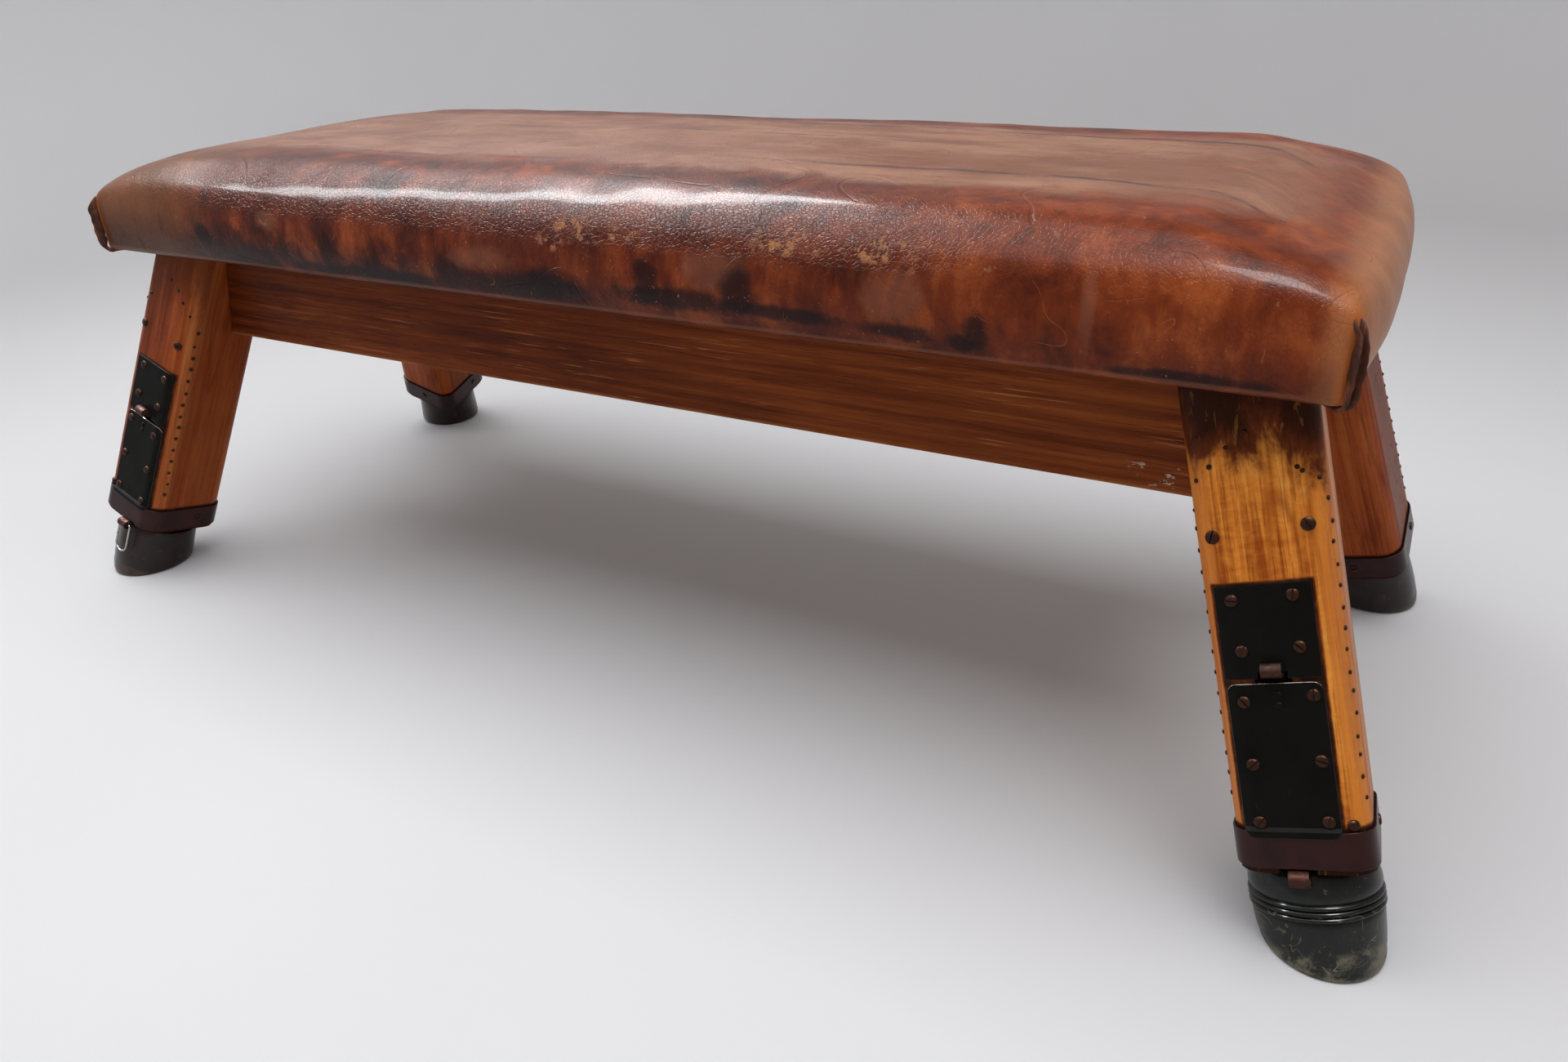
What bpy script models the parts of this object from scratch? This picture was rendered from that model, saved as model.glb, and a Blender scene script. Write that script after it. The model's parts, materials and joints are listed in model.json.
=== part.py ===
"""Low leather-topped gymnastics horse on four splayed legs that telescope.

Units are metres, +Z is up and +X runs along the pad. The origin is on the floor, under the
middle of the pad. Each leg is a box of four nailed boards around a sliding post. Leg pieces
are modelled upright in their leg's own frame: local +Z runs up the leg, local +Y points out
of the face that carries the latch plates, and local z = 0 is where the leg's axis meets the
floor.
"""
import math

import bmesh
import bpy
from mathutils import Matrix, Vector

# Clearances
GAP = 0.0003            # between pieces that touch
SLIDE_GAP = 0.001       # around each sliding post

# Padded top
PAD_LENGTH = 1.500
PAD_WIDTH = 0.557
PAD_BOTTOM = 0.469
CORNER_HEIGHT = 0.068   # upright wall at the pinched corners
SHOULDER_HEIGHT = 0.044
SHOULDER_RUN = (0.145, 0.052)   # along X at the ends, along Y at the sides
CROWN = 0.016
SIDE_BULGE = 0.014
END_BULGE = 0.024
LEATHER = 0.003
LIP = 0.022             # leather turned under the deck
FILLING_GAP = 0.003     # slack between filling and leather
PAD_GRID = (22, 12)
WALL_ROWS = 4
DECK_THICKNESS = 0.020

# Frame
LEG_TOP = (0.6647, 0.1727)        # leg axis at the pad's underside
FOOT_CENTRE = (0.8178, 0.3223)   # leg axis at the floor
RAIL_FACE = 0.203
RAIL_THICKNESS = 0.024
RAIL_BOTTOM = 0.3413
END_RAIL_FACE = 0.690
END_RAIL_BOTTOM = 0.380
BATTEN_X = 0.250
BATTEN_SIZE = (0.060, 0.030)

# Leg box
LEG_WIDTH = 0.106
LEG_DEPTH = 0.112
LEG_CORNER = 0.021
FACE_BOARD = 0.022
SIDE_BOARD = 0.020
BOX_BOTTOM = 0.081
CORNER_STEPS = 4

# Sliding post and its row of locking holes
POST_BOTTOM = 0.0343
POST_TOP = 0.420
POST_CHAMFER = 0.004
TRAVEL = 0.180
HOLE_PITCH = 0.045
HOLE_RADIUS = 0.0045
HOLE_DEPTH = 0.020
GROOVE_WIDTH = 0.016
GROOVE_DEPTH = 0.009

# Steel on the leg
STEEL = 0.002
BAND_BOTTOM = 0.086
BAND_TOP = 0.118
PLATE_OFFSET = 0.0062   # plates sit this far towards the middle of the horse
PLATE_WIDTH = 0.0740
UPPER_PLATE = (0.2483, 0.3270)
LOWER_PLATE = (0.1130, 0.2445)
NOTCH_WIDTH = 0.023     # in the upper plate's lower edge, where the lever comes out
NOTCH_TOP = 0.2541
PLATE_CORNER = 0.008
PLATE_STEP = 0.0016     # joggle that carries the lower plate over the band

# Latch
SLOT_WIDTH = 0.028
SLOT_TOP = 0.2575
LEVER_WIDTH = 0.016
ROLL = 0.005            # radius of the rolled upper end, at mid thickness
EYE_ROLL = 0.006        # and of the eye at the lower end
LEVER_BEND = 0.004
PIVOT_Y = LEG_DEPTH / 2 + GAP + STEEL + 0.0008 + ROLL + STEEL / 2
PIVOT_Z = 0.2566
STRIP_Y = 0.0424         # strip's middle plane inside the front board
EYE_Y = 0.0585
EYE_Z = 0.0775
PIN_Z = 0.125
PIN_RADIUS = 0.0045
PIN_TIP_Y = 0.0261
SPRING_THICKNESS = 0.0008
SPRING_WIDTH = 0.012
SPRING_TOP = 0.2415
SPRING_LENGTH = 0.070
SPRING_REACH = 0.005

# Pull rings
RING_WIRE = 0.0013
RING_HALF_WIDTH = 0.0115
RING_DROP = 0.045
RINGED_LEGS = ("front_left", "back_left", "back_right")

# Feet: (share of the way up from the floor, radius)
CUP_TOP = 0.074
BOOT_TOP = 0.079
FOOT_SEGMENTS = 24
FOOT_SQUARE_FROM = 0.45  # share of the height where the rings become square to the leg
POCKET_FLOOR = 0.034
RIDGED_LEG = "front_right"
CUP_PROFILE = ((0.0, 0.0495), (0.03, 0.0512), (0.12, 0.0518), (0.55, 0.0508),
               (0.93, 0.0494), (0.985, 0.0488), (1.0, 0.0474), (0.96, 0.0462))
BOOT_BASE = ((0.0, 0.0490), (0.04, 0.0512), (0.14, 0.0520), (0.30, 0.0526), (0.43, 0.0531))
BOOT_DOME = ((0.70, 0.0538), (0.81, 0.0530), (0.91, 0.0508), (1.0, 0.0462))
RIDGE_COUNT = 3
RIDGE_START = 0.47
RIDGE_PITCH = 0.066
RIDGE_OUT = 0.0548
RIDGE_IN = 0.0534

LEGS = {
    "front_left": (-1, -1),
    "front_right": (1, -1),
    "back_left": (-1, 1),
    "back_right": (1, 1),
}


def clear_scene():
    for obj in list(bpy.data.objects):
        bpy.data.objects.remove(obj, do_unlink=True)


def material(name, colour, roughness, metallic=0.0):
    mat = bpy.data.materials.new(name)
    mat.use_nodes = True
    shader = mat.node_tree.nodes["Principled BSDF"]
    shader.inputs["Base Color"].default_value = (*colour, 1.0)
    shader.inputs["Roughness"].default_value = roughness
    shader.inputs["Metallic"].default_value = metallic
    return mat


def add_object(name, bm, mat, parent=None, location=(0, 0, 0)):
    """Turn a bmesh into a named object with its faces pointing out."""
    bmesh.ops.recalc_face_normals(bm, faces=bm.faces)
    mesh = bpy.data.meshes.new(name)
    bm.to_mesh(mesh)
    bm.free()
    obj = bpy.data.objects.new(name, mesh)
    mesh.materials.append(mat)
    bpy.context.scene.collection.objects.link(obj)
    obj.parent = parent
    obj.location = location
    return obj


def smooth(obj, angle=35):
    obj.data.shade_smooth()
    obj.data.set_sharp_from_angle(angle=math.radians(angle))


def cut(obj, cutter):
    """Subtract a helper solid, which stays out of the build."""
    cutter.hide_render = True
    cutter.display_type = "WIRE"
    boolean = obj.modifiers.new("cut_" + cutter.name, "BOOLEAN")
    boolean.operation = "DIFFERENCE"
    boolean.solver = "EXACT"
    boolean.object = cutter


def bridge(bm, ring_a, ring_b):
    """Join two closed rings of the same count with quads."""
    count = len(ring_a)
    for i in range(count):
        j = (i + 1) % count
        bm.faces.new((ring_a[i], ring_a[j], ring_b[j], ring_b[i]))


def prism(outline, low, high):
    """Solid between two heights, each a number or a function of (x, y)."""
    bm = bmesh.new()
    rings = []
    for level in (low, high):
        height = level if callable(level) else (lambda x, y, value=level: value)
        rings.append([bm.verts.new((x, y, height(x, y))) for x, y in outline])
    bridge(bm, *rings)
    bm.faces.new(rings[0])
    bm.faces.new(rings[1])
    return bm


def solid_between(near, far):
    """Solid between two outlines with the same number of 3-D points."""
    bm = bmesh.new()
    rings = [[bm.verts.new(point) for point in outline] for outline in (near, far)]
    bridge(bm, *rings)
    bm.faces.new(rings[0])
    bm.faces.new(rings[1])
    return bm


def box_bm(low, high):
    outline = ((low[0], low[1]), (high[0], low[1]), (high[0], high[1]), (low[0], high[1]))
    return prism(outline, low[2], high[2])


def arc(centre, radius, start, end, steps):
    """Points on an arc, both ends included, with angles in degrees."""
    points = []
    for i in range(steps + 1):
        angle = math.radians(start + (end - start) * i / steps)
        points.append((centre[0] + radius * math.cos(angle), centre[1] + radius * math.sin(angle)))
    return points


def rounded_rectangle(half_x, half_y, radius, steps=CORNER_STEPS, centre=(0, 0)):
    points = []
    corners = ((1, 1, 0), (-1, 1, 90), (-1, -1, 180), (1, -1, 270))
    for side_x, side_y, start in corners:
        corner = (centre[0] + side_x * (half_x - radius), centre[1] + side_y * (half_y - radius))
        points += arc(corner, radius, start, start + 90, steps)
    return points


def strip(path, thickness, low_x, high_x):
    """Bent flat bar: a path in (y, z) with a thickness, spread from low_x to high_x."""
    left, right = [], []
    for i, point in enumerate(path):
        before = Vector(path[max(i - 1, 0)])
        after = Vector(path[min(i + 1, len(path) - 1)])
        along = (after - before).normalized()
        side = Vector((-along.y, along.x)) * thickness / 2
        left.append(Vector(point) + side)
        right.append(Vector(point) - side)
    bm = bmesh.new()
    grid = []
    for a, b in zip(left, right):
        corners = ((low_x, *a), (high_x, *a), (high_x, *b), (low_x, *b))
        grid.append([bm.verts.new(corner) for corner in corners])
    for near, far in zip(grid, grid[1:]):
        bridge(bm, near, far)
    bm.faces.new(grid[0])
    bm.faces.new(grid[-1])
    return bm


def leg_matrix(name):
    """World matrix of a leg's frame, whose local +Y points out of the latch face."""
    side_x, side_y = LEGS[name]
    foot = Vector((side_x * FOOT_CENTRE[0], side_y * FOOT_CENTRE[1], 0.0))
    top = Vector((side_x * LEG_TOP[0], side_y * LEG_TOP[1], PAD_BOTTOM))
    up = (top - foot).normalized()
    out = Vector((1, 0, 0)).cross(up).normalized()
    if out.y * side_y < 0:
        out.negate()
    across = out.cross(up)
    rotation = Matrix((across, out, up)).transposed()
    return Matrix.Translation(foot) @ rotation.to_4x4()


def level_cut(matrix, height):
    """Function of local (x, y) that lands on the world plane at this height."""
    def local_z(x, y):
        row = matrix[2]
        return (height - row[3] - row[0] * x - row[1] * y) / row[2]
    return local_z


def side_sign(name):
    """+1 where the leg's local +X points away from the middle of the horse."""
    side_x, side_y = LEGS[name]
    return side_x * side_y


# ---------------------------------------------------------------- padded top

def quarter(value):
    """Quarter circle rising from 0 to 1."""
    value = min(max(value, 0.0), 1.0)
    return math.sqrt(max(0.0, 1 - (1 - value) ** 2))


def pad_height(x, y, inset):
    half_x = PAD_LENGTH / 2 - inset
    half_y = PAD_WIDTH / 2 - inset
    shoulder = quarter((half_x - abs(x)) / SHOULDER_RUN[0]) * quarter((half_y - abs(y)) / SHOULDER_RUN[1])
    crown = (1 - (x / half_x) ** 2) * (1 - (y / half_y) ** 2)
    return PAD_BOTTOM + CORNER_HEIGHT + SHOULDER_HEIGHT * shoulder + CROWN * crown - inset


def spread(count, power=1.6):
    """Positions from -1 to 1 that crowd towards both ends."""
    values = []
    for i in range(count + 1):
        s = 2 * i / count - 1
        values.append(math.copysign(1 - (1 - abs(s)) ** power, s))
    return values


def pad_grid(bm, inset):
    """Vertex grid of the crowned top, and its border as one ring."""
    half_x = PAD_LENGTH / 2 - inset
    half_y = PAD_WIDTH / 2 - inset
    rows = []
    for v in spread(PAD_GRID[1]):
        row = []
        for u in spread(PAD_GRID[0]):
            x, y = u * half_x, v * half_y
            row.append(bm.verts.new((x, y, pad_height(x, y, inset))))
        rows.append(row)
    for low, high in zip(rows, rows[1:]):
        for i in range(PAD_GRID[0]):
            bm.faces.new((low[i], low[i + 1], high[i + 1], high[i]))
    border = rows[0] + [row[-1] for row in rows[1:-1]] + rows[-1][::-1]
    border += [row[0] for row in rows[-2:0:-1]]
    return border


def pad_wall(bm, border, inset, bottom):
    """Bulging side walls from the border down to a level, and their lowest ring."""
    half_x = PAD_LENGTH / 2 - inset
    half_y = PAD_WIDTH / 2 - inset
    top = PAD_BOTTOM + CORNER_HEIGHT - inset
    previous = border
    for k in range(1, WALL_ROWS + 1):
        z = top + (bottom - top) * k / WALL_ROWS
        share = (z - PAD_BOTTOM) / CORNER_HEIGHT
        swell = max(0.0, math.sin(math.pi * share))
        ring = []
        for vert in border:
            x, y = vert.co.x, vert.co.y
            out_x = END_BULGE * swell * (1 - (y / half_y) ** 4) if abs(x) > half_x - 1e-6 else 0.0
            out_y = SIDE_BULGE * swell * (1 - (x / half_x) ** 8) if abs(y) > half_y - 1e-6 else 0.0
            point = (x + math.copysign(out_x, x), y + math.copysign(out_y, y), z)
            ring.append(bm.verts.new(point))
        bridge(bm, previous, ring)
        previous = ring
    return previous


def lip_ring(bm, ring, inset, z):
    """Inner edge of the turned-under leather, one vertex below each wall vertex."""
    limit_x = PAD_LENGTH / 2 - LIP
    limit_y = PAD_WIDTH / 2 - LIP
    half_x = PAD_LENGTH / 2 - inset
    half_y = PAD_WIDTH / 2 - inset
    inner = []
    for vert in ring:
        x = vert.co.x * limit_x / half_x
        y = vert.co.y * limit_y / half_y
        inner.append(bm.verts.new((x, y, z)))
    bridge(bm, ring, inner)
    return inner


def make_leather_cover(mat):
    bm = bmesh.new()
    outer = pad_wall(bm, pad_grid(bm, 0.0), 0.0, PAD_BOTTOM)
    outer_edge = lip_ring(bm, outer, 0.0, PAD_BOTTOM)
    lip_top = PAD_BOTTOM + LEATHER
    inner = pad_wall(bm, pad_grid(bm, LEATHER), LEATHER, lip_top)
    inner_edge = lip_ring(bm, inner, LEATHER, lip_top)
    bridge(bm, outer_edge, inner_edge)
    smooth(add_object("leather_cover", bm, mat), 50)


def make_pad_filling(mat):
    bm = bmesh.new()
    inset = LEATHER + FILLING_GAP
    floor = PAD_BOTTOM + LEATHER + DECK_THICKNESS + 2 * GAP
    ring = pad_wall(bm, pad_grid(bm, inset), inset, floor)
    bm.faces.new(ring)
    smooth(add_object("pad_filling", bm, mat), 50)


def deck_bottom():
    return PAD_BOTTOM + LEATHER + GAP


def make_deck(deck_mat, batten_mat):
    half_x = PAD_LENGTH / 2 - LEATHER - 2 * GAP
    half_y = PAD_WIDTH / 2 - LEATHER - 2 * GAP
    bottom = deck_bottom()
    bm = box_bm((-half_x, -half_y, bottom), (half_x, half_y, bottom + DECK_THICKNESS))
    add_object("deck_board", bm, deck_mat)
    reach = RAIL_FACE - RAIL_THICKNESS - GAP
    top = bottom - GAP
    for name, side in (("deck_batten_left", -1), ("deck_batten_right", 1)):
        middle = side * BATTEN_X
        low = (middle - BATTEN_SIZE[0] / 2, -reach, top - BATTEN_SIZE[1])
        high = (middle + BATTEN_SIZE[0] / 2, reach, top)
        add_object(name, box_bm(low, high), batten_mat)


# ---------------------------------------------------------------- rails

def plane_hit(name, local_axis, offset, point, world_axis):
    """Slide a world point along one world axis until it meets a face of a leg."""
    matrix = leg_matrix(name)
    normal = matrix.to_3x3().col[local_axis]
    start = Vector(point)
    start[world_axis] = 0.0
    remaining = offset - normal.dot(start - matrix.translation)
    start[world_axis] = remaining / normal[world_axis]
    return start


def make_long_rails(mat):
    top = deck_bottom() - GAP
    for label, side in (("front", -1), ("back", 1)):
        ends = []
        for end in ("left", "right"):
            leg = label + "_" + end
            offset = -side_sign(leg) * (LEG_WIDTH / 2 + GAP)
            outer, inner = side * RAIL_FACE, side * (RAIL_FACE - RAIL_THICKNESS)
            corners = ((outer, RAIL_BOTTOM), (outer, top), (inner, top), (inner, RAIL_BOTTOM))
            ends.append([plane_hit(leg, 0, offset, (0, y, z), 0) for y, z in corners])
        add_object("long_rail_" + label, solid_between(*ends), mat)


def make_end_rails(mat):
    top = deck_bottom() - GAP
    for label, side in (("left", -1), ("right", 1)):
        ends = []
        for end in ("front", "back"):
            leg = end + "_" + label
            offset = -(LEG_DEPTH / 2 + GAP)
            outer, inner = side * END_RAIL_FACE, side * (END_RAIL_FACE - RAIL_THICKNESS)
            corners = ((outer, END_RAIL_BOTTOM), (outer, top), (inner, top), (inner, END_RAIL_BOTTOM))
            ends.append([plane_hit(leg, 1, offset, (x, 0, z), 1) for x, z in corners])
        add_object("end_rail_" + label, solid_between(*ends), mat)


# ---------------------------------------------------------------- leg box

def face_board_outline(side):
    """Full-width board with two rounded outer corners; side is +1 for the latch face."""
    half_x, half_y = LEG_WIDTH / 2, LEG_DEPTH / 2
    inner = half_y - FACE_BOARD
    left = (-half_x + LEG_CORNER, half_y - LEG_CORNER)
    right = (half_x - LEG_CORNER, half_y - LEG_CORNER)
    points = [(half_x, inner)]
    points += arc(right, LEG_CORNER, 0, 90, CORNER_STEPS)
    points += arc(left, LEG_CORNER, 90, 180, CORNER_STEPS)
    points.append((-half_x, inner))
    return [(x, side * y) for x, y in points]


def make_leg_box(name, root, mats):
    matrix = leg_matrix(name)
    top = level_cut(matrix, deck_bottom() - GAP)
    middle = -side_sign(name) * PLATE_OFFSET
    front = add_object(name + "_face_board", prism(face_board_outline(1), BOX_BOTTOM, top), mats, root)
    slot_low = (middle - SLOT_WIDTH / 2, LEG_DEPTH / 2 - 2 * FACE_BOARD, BOX_BOTTOM - 0.01)
    slot_high = (middle + SLOT_WIDTH / 2, LEG_DEPTH / 2 + FACE_BOARD, SLOT_TOP)
    cut(front, add_object(name + "_slot_cutter", box_bm(slot_low, slot_high), mats, root))
    back = add_object(name + "_back_board", prism(face_board_outline(-1), BOX_BOTTOM, top), mats, root)
    half_x = LEG_WIDTH / 2
    reach = LEG_DEPTH / 2 - FACE_BOARD - GAP
    for label, side in (("end", side_sign(name)), ("rail", -side_sign(name))):
        inner, outer = side * (half_x - SIDE_BOARD), side * half_x
        outline = ((inner, -reach), (outer, -reach), (outer, reach), (inner, reach))
        add_object(name + "_" + label + "_board", prism(outline, BOX_BOTTOM, top), mats, root)
    for board in (front, back):
        smooth(board, 30)


def make_band(name, root, mat):
    outer = rounded_rectangle(LEG_WIDTH / 2 + GAP + STEEL, LEG_DEPTH / 2 + GAP + STEEL, LEG_CORNER + STEEL)
    inner = rounded_rectangle(LEG_WIDTH / 2 + GAP, LEG_DEPTH / 2 + GAP, LEG_CORNER)
    bm = bmesh.new()
    rings = []
    for outline, z in ((outer, BAND_BOTTOM), (outer, BAND_TOP), (inner, BAND_TOP), (inner, BAND_BOTTOM)):
        rings.append([bm.verts.new((x, y, z)) for x, y in outline])
    for i in range(4):
        bridge(bm, rings[i], rings[(i + 1) % 4])
    smooth(add_object(name + "_band", bm, mat, root))


def plate_bm(outline, middle):
    """Flat plate on the latch face, from an outline in (x, z)."""
    face = LEG_DEPTH / 2 + GAP
    near = [(middle + x, face, z) for x, z in outline]
    far = [(middle + x, face + STEEL, z) for x, z in outline]
    return solid_between(near, far)


def make_plates(name, root, mat):
    middle = -side_sign(name) * PLATE_OFFSET
    half = PLATE_WIDTH / 2
    low, high = UPPER_PLATE
    notch = NOTCH_WIDTH / 2
    outline = ((-half, low), (-notch, low), (-notch, NOTCH_TOP), (notch, NOTCH_TOP))
    outline += ((notch, low), (half, low), (half, high), (-half, high))
    add_object(name + "_upper_plate", plate_bm(outline, middle), mat, root)
    low, high = LOWER_PLATE
    outline = rounded_rectangle(half, (high - low) / 2, PLATE_CORNER, 3, (0, (low + high) / 2))
    bm = plate_bm(outline, middle)
    step_top = BAND_TOP + 0.004
    step_bottom = BAND_TOP + 0.001
    for z in (step_top, step_bottom):
        geometry = bm.verts[:] + bm.edges[:] + bm.faces[:]
        bmesh.ops.bisect_plane(bm, geom=geometry, plane_co=(0, 0, z), plane_no=(0, 0, 1))
    for vert in bm.verts:
        if vert.co.z < step_bottom + 1e-5:
            vert.co.y += PLATE_STEP + STEEL / 2
    add_object(name + "_lower_plate", bm, mat, root)


# ---------------------------------------------------------------- sliding post and foot

def make_post(name, root, mat):
    half_x = LEG_WIDTH / 2 - SIDE_BOARD - SLIDE_GAP
    half_y = LEG_DEPTH / 2 - FACE_BOARD - SLIDE_GAP
    outline = rounded_rectangle(half_x, half_y, POST_CHAMFER, 1)
    post = add_object(name + "_post", prism(outline, POST_BOTTOM, POST_TOP), mat, root)
    middle = -side_sign(name) * PLATE_OFFSET
    play = 0.003
    low = (middle - GROOVE_WIDTH / 2, half_y - GROOVE_DEPTH, PIN_Z - PIN_RADIUS - play)
    high = (middle + GROOVE_WIDTH / 2, half_y + 0.01, PIN_Z + TRAVEL + PIN_RADIUS + play)
    cut(post, add_object(name + "_groove_cutter", box_bm(low, high), mat, root))
    for k in range(round(TRAVEL / HOLE_PITCH) + 1):
        centre = (middle, PIN_Z + k * HOLE_PITCH)
        outline = arc(centre, HOLE_RADIUS, 22.5, 337.5, 7)
        near = [(x, half_y - HOLE_DEPTH, z) for x, z in outline]
        far = [(x, half_y + 0.01, z) for x, z in outline]
        cutter = add_object(name + "_hole_cutter_" + str(k), solid_between(near, far), mat, root)
        cut(post, cutter)
    return post


def boot_profile():
    """Ridged rubber boot: tapering base, raised rings, domed top."""
    points = list(BOOT_BASE)
    for k in range(RIDGE_COUNT):
        start = RIDGE_START + k * RIDGE_PITCH
        points.append((start, RIDGE_IN))
        points.append((start + 0.25 * RIDGE_PITCH, RIDGE_OUT))
        points.append((start + 0.65 * RIDGE_PITCH, RIDGE_OUT))
    return points + list(BOOT_DOME)


def foot_ring(floor_axes, share, radius, top):
    """Circle that lies on the floor at share 0 and turns square to the leg higher up."""
    points = []
    square = 1 - max(0.0, 1 - share / FOOT_SQUARE_FROM) ** 1.5
    across = floor_axes[0].lerp(Vector((1, 0, 0)), square).normalized()
    out = floor_axes[1].lerp(Vector((0, 1, 0)), square).normalized()
    for i in range(FOOT_SEGMENTS):
        angle = 2 * math.pi * i / FOOT_SEGMENTS
        reach = across * math.cos(angle) + out * math.sin(angle)
        points.append(Vector((0, 0, top * share)) + reach * radius)
    return points


def make_foot(name, root, mat):
    back = leg_matrix(name).to_3x3().inverted()
    level = back @ Vector((0, 0, 1))
    across = (Vector((1, 0, 0)) - level * level.x).normalized()
    floor_axes = (across, level.cross(across))
    profile, top = (boot_profile(), BOOT_TOP) if name == RIDGED_LEG else (CUP_PROFILE, CUP_TOP)
    bm = bmesh.new()
    previous = None
    for share, radius in profile:
        ring = [bm.verts.new(point) for point in foot_ring(floor_axes, share, radius, top)]
        if previous:
            bridge(bm, previous, ring)
        else:
            bm.faces.new(ring)
        previous = ring
    bm.faces.new(previous)
    foot = add_object(name + "_foot", bm, mat, root)
    smooth(foot, 40)
    half_x = LEG_WIDTH / 2 - SIDE_BOARD - SLIDE_GAP + GAP
    half_y = LEG_DEPTH / 2 - FACE_BOARD - SLIDE_GAP + GAP
    outline = rounded_rectangle(half_x, half_y, POST_CHAMFER, 1)
    cut(foot, add_object(name + "_pocket_cutter", prism(outline, POCKET_FLOOR, 0.1), mat, root))


# ---------------------------------------------------------------- latch

def lever_path():
    """Middle line of the lever in (y, z), measured from its pivot."""
    strip_y = STRIP_Y - PIVOT_Y
    eye = (EYE_Y - PIVOT_Y, EYE_Z - PIVOT_Z)
    path = arc((0, 0), ROLL, 190, -90, 10)
    path += arc((strip_y + LEVER_BEND, -ROLL - LEVER_BEND), LEVER_BEND, 90, 180, 3)
    path += arc((strip_y + LEVER_BEND, eye[1] + EYE_ROLL + LEVER_BEND), LEVER_BEND, 180, 270, 3)
    path += arc(eye, EYE_ROLL, 90, -170, 10)
    return path


def make_latch(name, root, mats):
    middle = -side_sign(name) * PLATE_OFFSET
    half = LEVER_WIDTH / 2
    pivot = (middle, PIVOT_Y, PIVOT_Z)
    bm = strip(lever_path(), STEEL, -half, half)
    lever = add_object(name + "_latch_lever", bm, mats["lever"], root, pivot)
    smooth(lever, 40)
    inner_face = STRIP_Y - STEEL / 2 - GAP
    outline = arc((0, PIN_Z - PIVOT_Z), PIN_RADIUS, 18, 342, 9)
    near = [(x, inner_face - PIVOT_Y, z) for x, z in outline]
    far = [(x, PIN_TIP_Y - PIVOT_Y, z) for x, z in outline]
    pin = add_object(name + "_latch_pin", solid_between(near, far), mats["pin"], lever)
    smooth(pin, 40)
    back = LEG_DEPTH / 2 - GAP - SPRING_THICKNESS / 2
    path = []
    for i in range(9):
        share = i / 8
        path.append((back - SPRING_REACH * share ** 2, SPRING_TOP - SPRING_LENGTH * share))
    bm = strip(path, SPRING_THICKNESS, middle - SPRING_WIDTH / 2, middle + SPRING_WIDTH / 2)
    add_object(name + "_latch_spring", bm, mats["spring"], root)
    if name in RINGED_LEGS:
        make_ring(name, lever, mats["ring"])


def make_ring(name, lever, mat):
    """Pull ring: a straight bar through the lever's lower eye, and a hanging loop."""
    half, drop = RING_HALF_WIDTH, RING_DROP
    bend = 0.003
    path = arc((half - bend, -bend), bend, 90, 0, 3)
    path += arc((0, half - drop), half, 0, -180, 12)
    path += arc((bend - half, -bend), bend, 180, 90, 3)
    bm = bmesh.new()
    rings = []
    count = len(path)
    sides = 6
    for i, (x, z) in enumerate(path):
        before, after = Vector(path[i - 1]), Vector(path[(i + 1) % count])
        along = (after - before).normalized()
        out = Vector((along.y, 0, -along.x))
        ring = []
        for k in range(sides):
            angle = 2 * math.pi * k / sides
            offset = out * math.cos(angle) + Vector((0, 1, 0)) * math.sin(angle)
            ring.append(bm.verts.new(Vector((x, 0, z)) + RING_WIRE * offset))
        rings.append(ring)
    for i in range(count):
        bridge(bm, rings[i], rings[(i + 1) % count])
    location = (0, EYE_Y - PIVOT_Y, EYE_Z - PIVOT_Z)
    smooth(add_object(name + "_pull_ring", bm, mat, lever, location), 60)


def make_leg(name, mats):
    root = bpy.data.objects.new(name + "_leg_frame", None)
    bpy.context.scene.collection.objects.link(root)
    root.matrix_world = leg_matrix(name)
    wood = mats["honey_wood"] if name == RIDGED_LEG else mats["red_wood"]
    make_leg_box(name, root, wood)
    make_band(name, root, mats["band"])
    make_plates(name, root, mats["plate"])
    make_post(name, root, mats["post"])
    make_foot(name, root, mats["rubber"] if name == RIDGED_LEG else mats["cup"])
    make_latch(name, root, mats)


def make_materials():
    return {
        "leather": material("leather", (0.30, 0.10, 0.045), 0.35),
        "filling": material("filling", (0.42, 0.34, 0.24), 0.95),
        "deck": material("deck_wood", (0.52, 0.34, 0.18), 0.75),
        "rail": material("rail_wood", (0.33, 0.12, 0.04), 0.45),
        "honey_wood": material("honey_wood", (0.58, 0.30, 0.10), 0.40),
        "red_wood": material("red_wood", (0.30, 0.11, 0.04), 0.42),
        "post": material("post_wood", (0.34, 0.15, 0.07), 0.50),
        "plate": material("plate_steel", (0.020, 0.016, 0.015), 0.30, 0.6),
        "band": material("band_steel", (0.050, 0.022, 0.018), 0.35, 0.6),
        "lever": material("lever_steel", (0.14, 0.075, 0.05), 0.38, 0.9),
        "pin": material("pin_steel", (0.45, 0.43, 0.40), 0.30, 1.0),
        "spring": material("spring_steel", (0.30, 0.29, 0.28), 0.30, 1.0),
        "ring": material("ring_wire", (0.55, 0.53, 0.50), 0.28, 1.0),
        "rubber": material("ridged_rubber", (0.020, 0.024, 0.020), 0.35),
        "cup": material("cup_rubber", (0.035, 0.020, 0.016), 0.40),
    }


def main():
    clear_scene()
    mats = make_materials()
    make_leather_cover(mats["leather"])
    make_pad_filling(mats["filling"])
    make_deck(mats["deck"], mats["deck"])
    make_long_rails(mats["rail"])
    make_end_rails(mats["rail"])
    for name in LEGS:
        make_leg(name, mats)


main()
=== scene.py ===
"""Looks of a low leather-topped gymnastics horse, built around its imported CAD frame.

Everything is in metres in the CAD's frame: +X along the pad, +Z up, origin on the floor.
Leg pieces are made in their leg's own frame: +Z up the leg, +Y out of the latch face.
"""
import json
import math
import random

import bmesh
import bpy
from mathutils import Matrix, Vector, noise


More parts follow.
